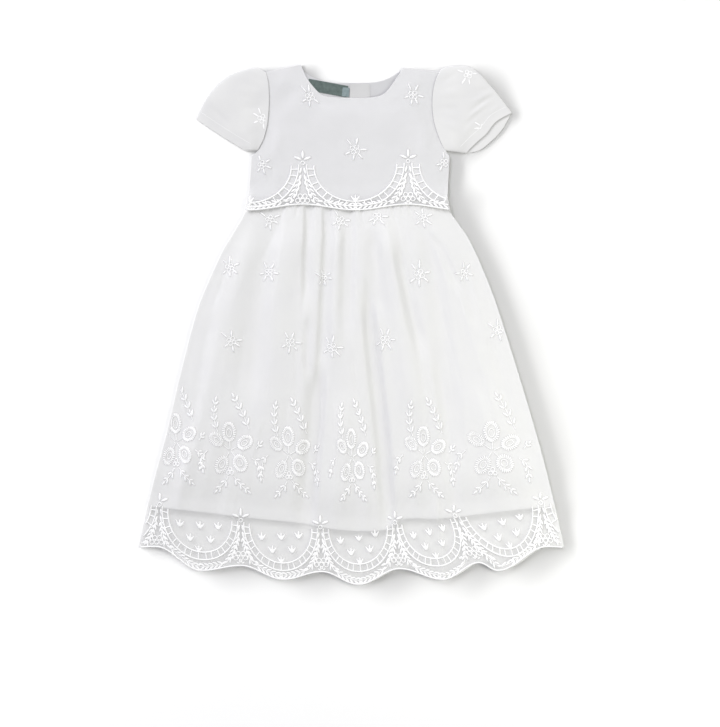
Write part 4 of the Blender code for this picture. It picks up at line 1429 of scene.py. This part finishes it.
class GOWN_OT_embroidery(bpy.types.Operator):
    """Charts the sprigs, flowers and border lace, and lays them on the cloth"""

    bl_idname = "gown.embroidery"
    bl_label = "Embroidery"

    def execute(self, context):
        thread = rayon_thread("rayon_embroidery_thread")
        stitch_group()
        cord_group()
        objects = bpy.data.objects
        sprigs = Chart(in_skirt)
        for row in SKIRT_SPRIGS:
            sprig(sprigs, *row)
        for row in FLOWERS:
            flower(sprigs, *row)
        embroider(sprigs, objects["skirt_organza"], "skirt_sprigs", thread)
        border = Chart(in_skirt)
        lace_border(border, HEM_STARS, plain_drop, True, 65.0, hem_y)
        x = np.linspace(-243.5, 243.5, 400)
        border.cord(plain_place, zip(x, hem_y(x) + EDGE_CORD_INSET), 0.95)
        embroider(border, objects["skirt_organza"], "hem_lace", thread)
        front = Chart(in_bodice)
        for row in BODICE_SPRIGS:
            sprig(front, *row)
        lace_border(front, WAIST_STARS, waist_drop, False, 62.0, free_edge_y)
        x = np.linspace(FREE_EDGE_LEFT_X + 1, FREE_EDGE_RIGHT_X - 1, 200)
        front.cord(plain_place, zip(x, free_edge_y(x) + EDGE_CORD_INSET), 0.95)
        embroider(front, objects["front_organza"], "waist_lace", thread)
        for side, outward, armhole, _, top, cuff, *_, rows in SLEEVES:
            chart = Chart(in_sleeve(armhole, top, cuff))
            for row in rows:
                sprig(chart, *row)
            path = even_points(smooth_path(cuff, 12), 60)
            run = path[-1] - path[0]
            inward = np.array((run[1], -run[0])) * outward / np.hypot(*run)
            chart.cord(plain_place, path + inward * CUFF_HEM, 0.29)
            embroider(chart, objects[f"sleeve_{side}_cloth"], f"sleeve_{side}_sprig", thread)
        return {"FINISHED"}


class GOWN_PT_panel(bpy.types.Panel):
    """Lists the gown's steps and sizes"""

    bl_idname = "GOWN_PT_panel"
    bl_label = "Gown"
    bl_space_type = "VIEW_3D"
    bl_region_type = "UI"
    bl_category = "Gown"

    def draw(self, context):
        sizes = context.scene.gown_sizes
        for name in ("shell", "thread_lift", "cord_step", "skirt_columns", "skirt_rows", "sleeve_rise"):
            self.layout.prop(sizes, name)
        colours = context.scene.gown_colours
        for name in ("floor", "sky"):
            self.layout.prop(colours, name)
        for step in STEPS:
            self.layout.operator(step.bl_idname)


STEPS = (GOWN_OT_stage, GOWN_OT_back, GOWN_OT_skirt, GOWN_OT_bodice, GOWN_OT_sleeves, GOWN_OT_embroidery)
CLASSES = (GownSizes, GownColours, *STEPS, GOWN_PT_panel)


def register():
    for cls in CLASSES:
        bpy.utils.register_class(cls)
    bpy.types.Scene.gown_sizes = PointerProperty(type=GownSizes)
    bpy.types.Scene.gown_colours = PointerProperty(type=GownColours)


def unregister():
    del bpy.types.Scene.gown_colours
    del bpy.types.Scene.gown_sizes
    for cls in reversed(CLASSES):
        bpy.utils.unregister_class(cls)


def main():
    register()
    bpy.ops.gown.stage()
    bpy.ops.gown.back()
    bpy.ops.gown.skirt()
    bpy.ops.gown.bodice()
    bpy.ops.gown.sleeves()
    bpy.ops.gown.embroidery()


if __name__ == "__main__":
    main()
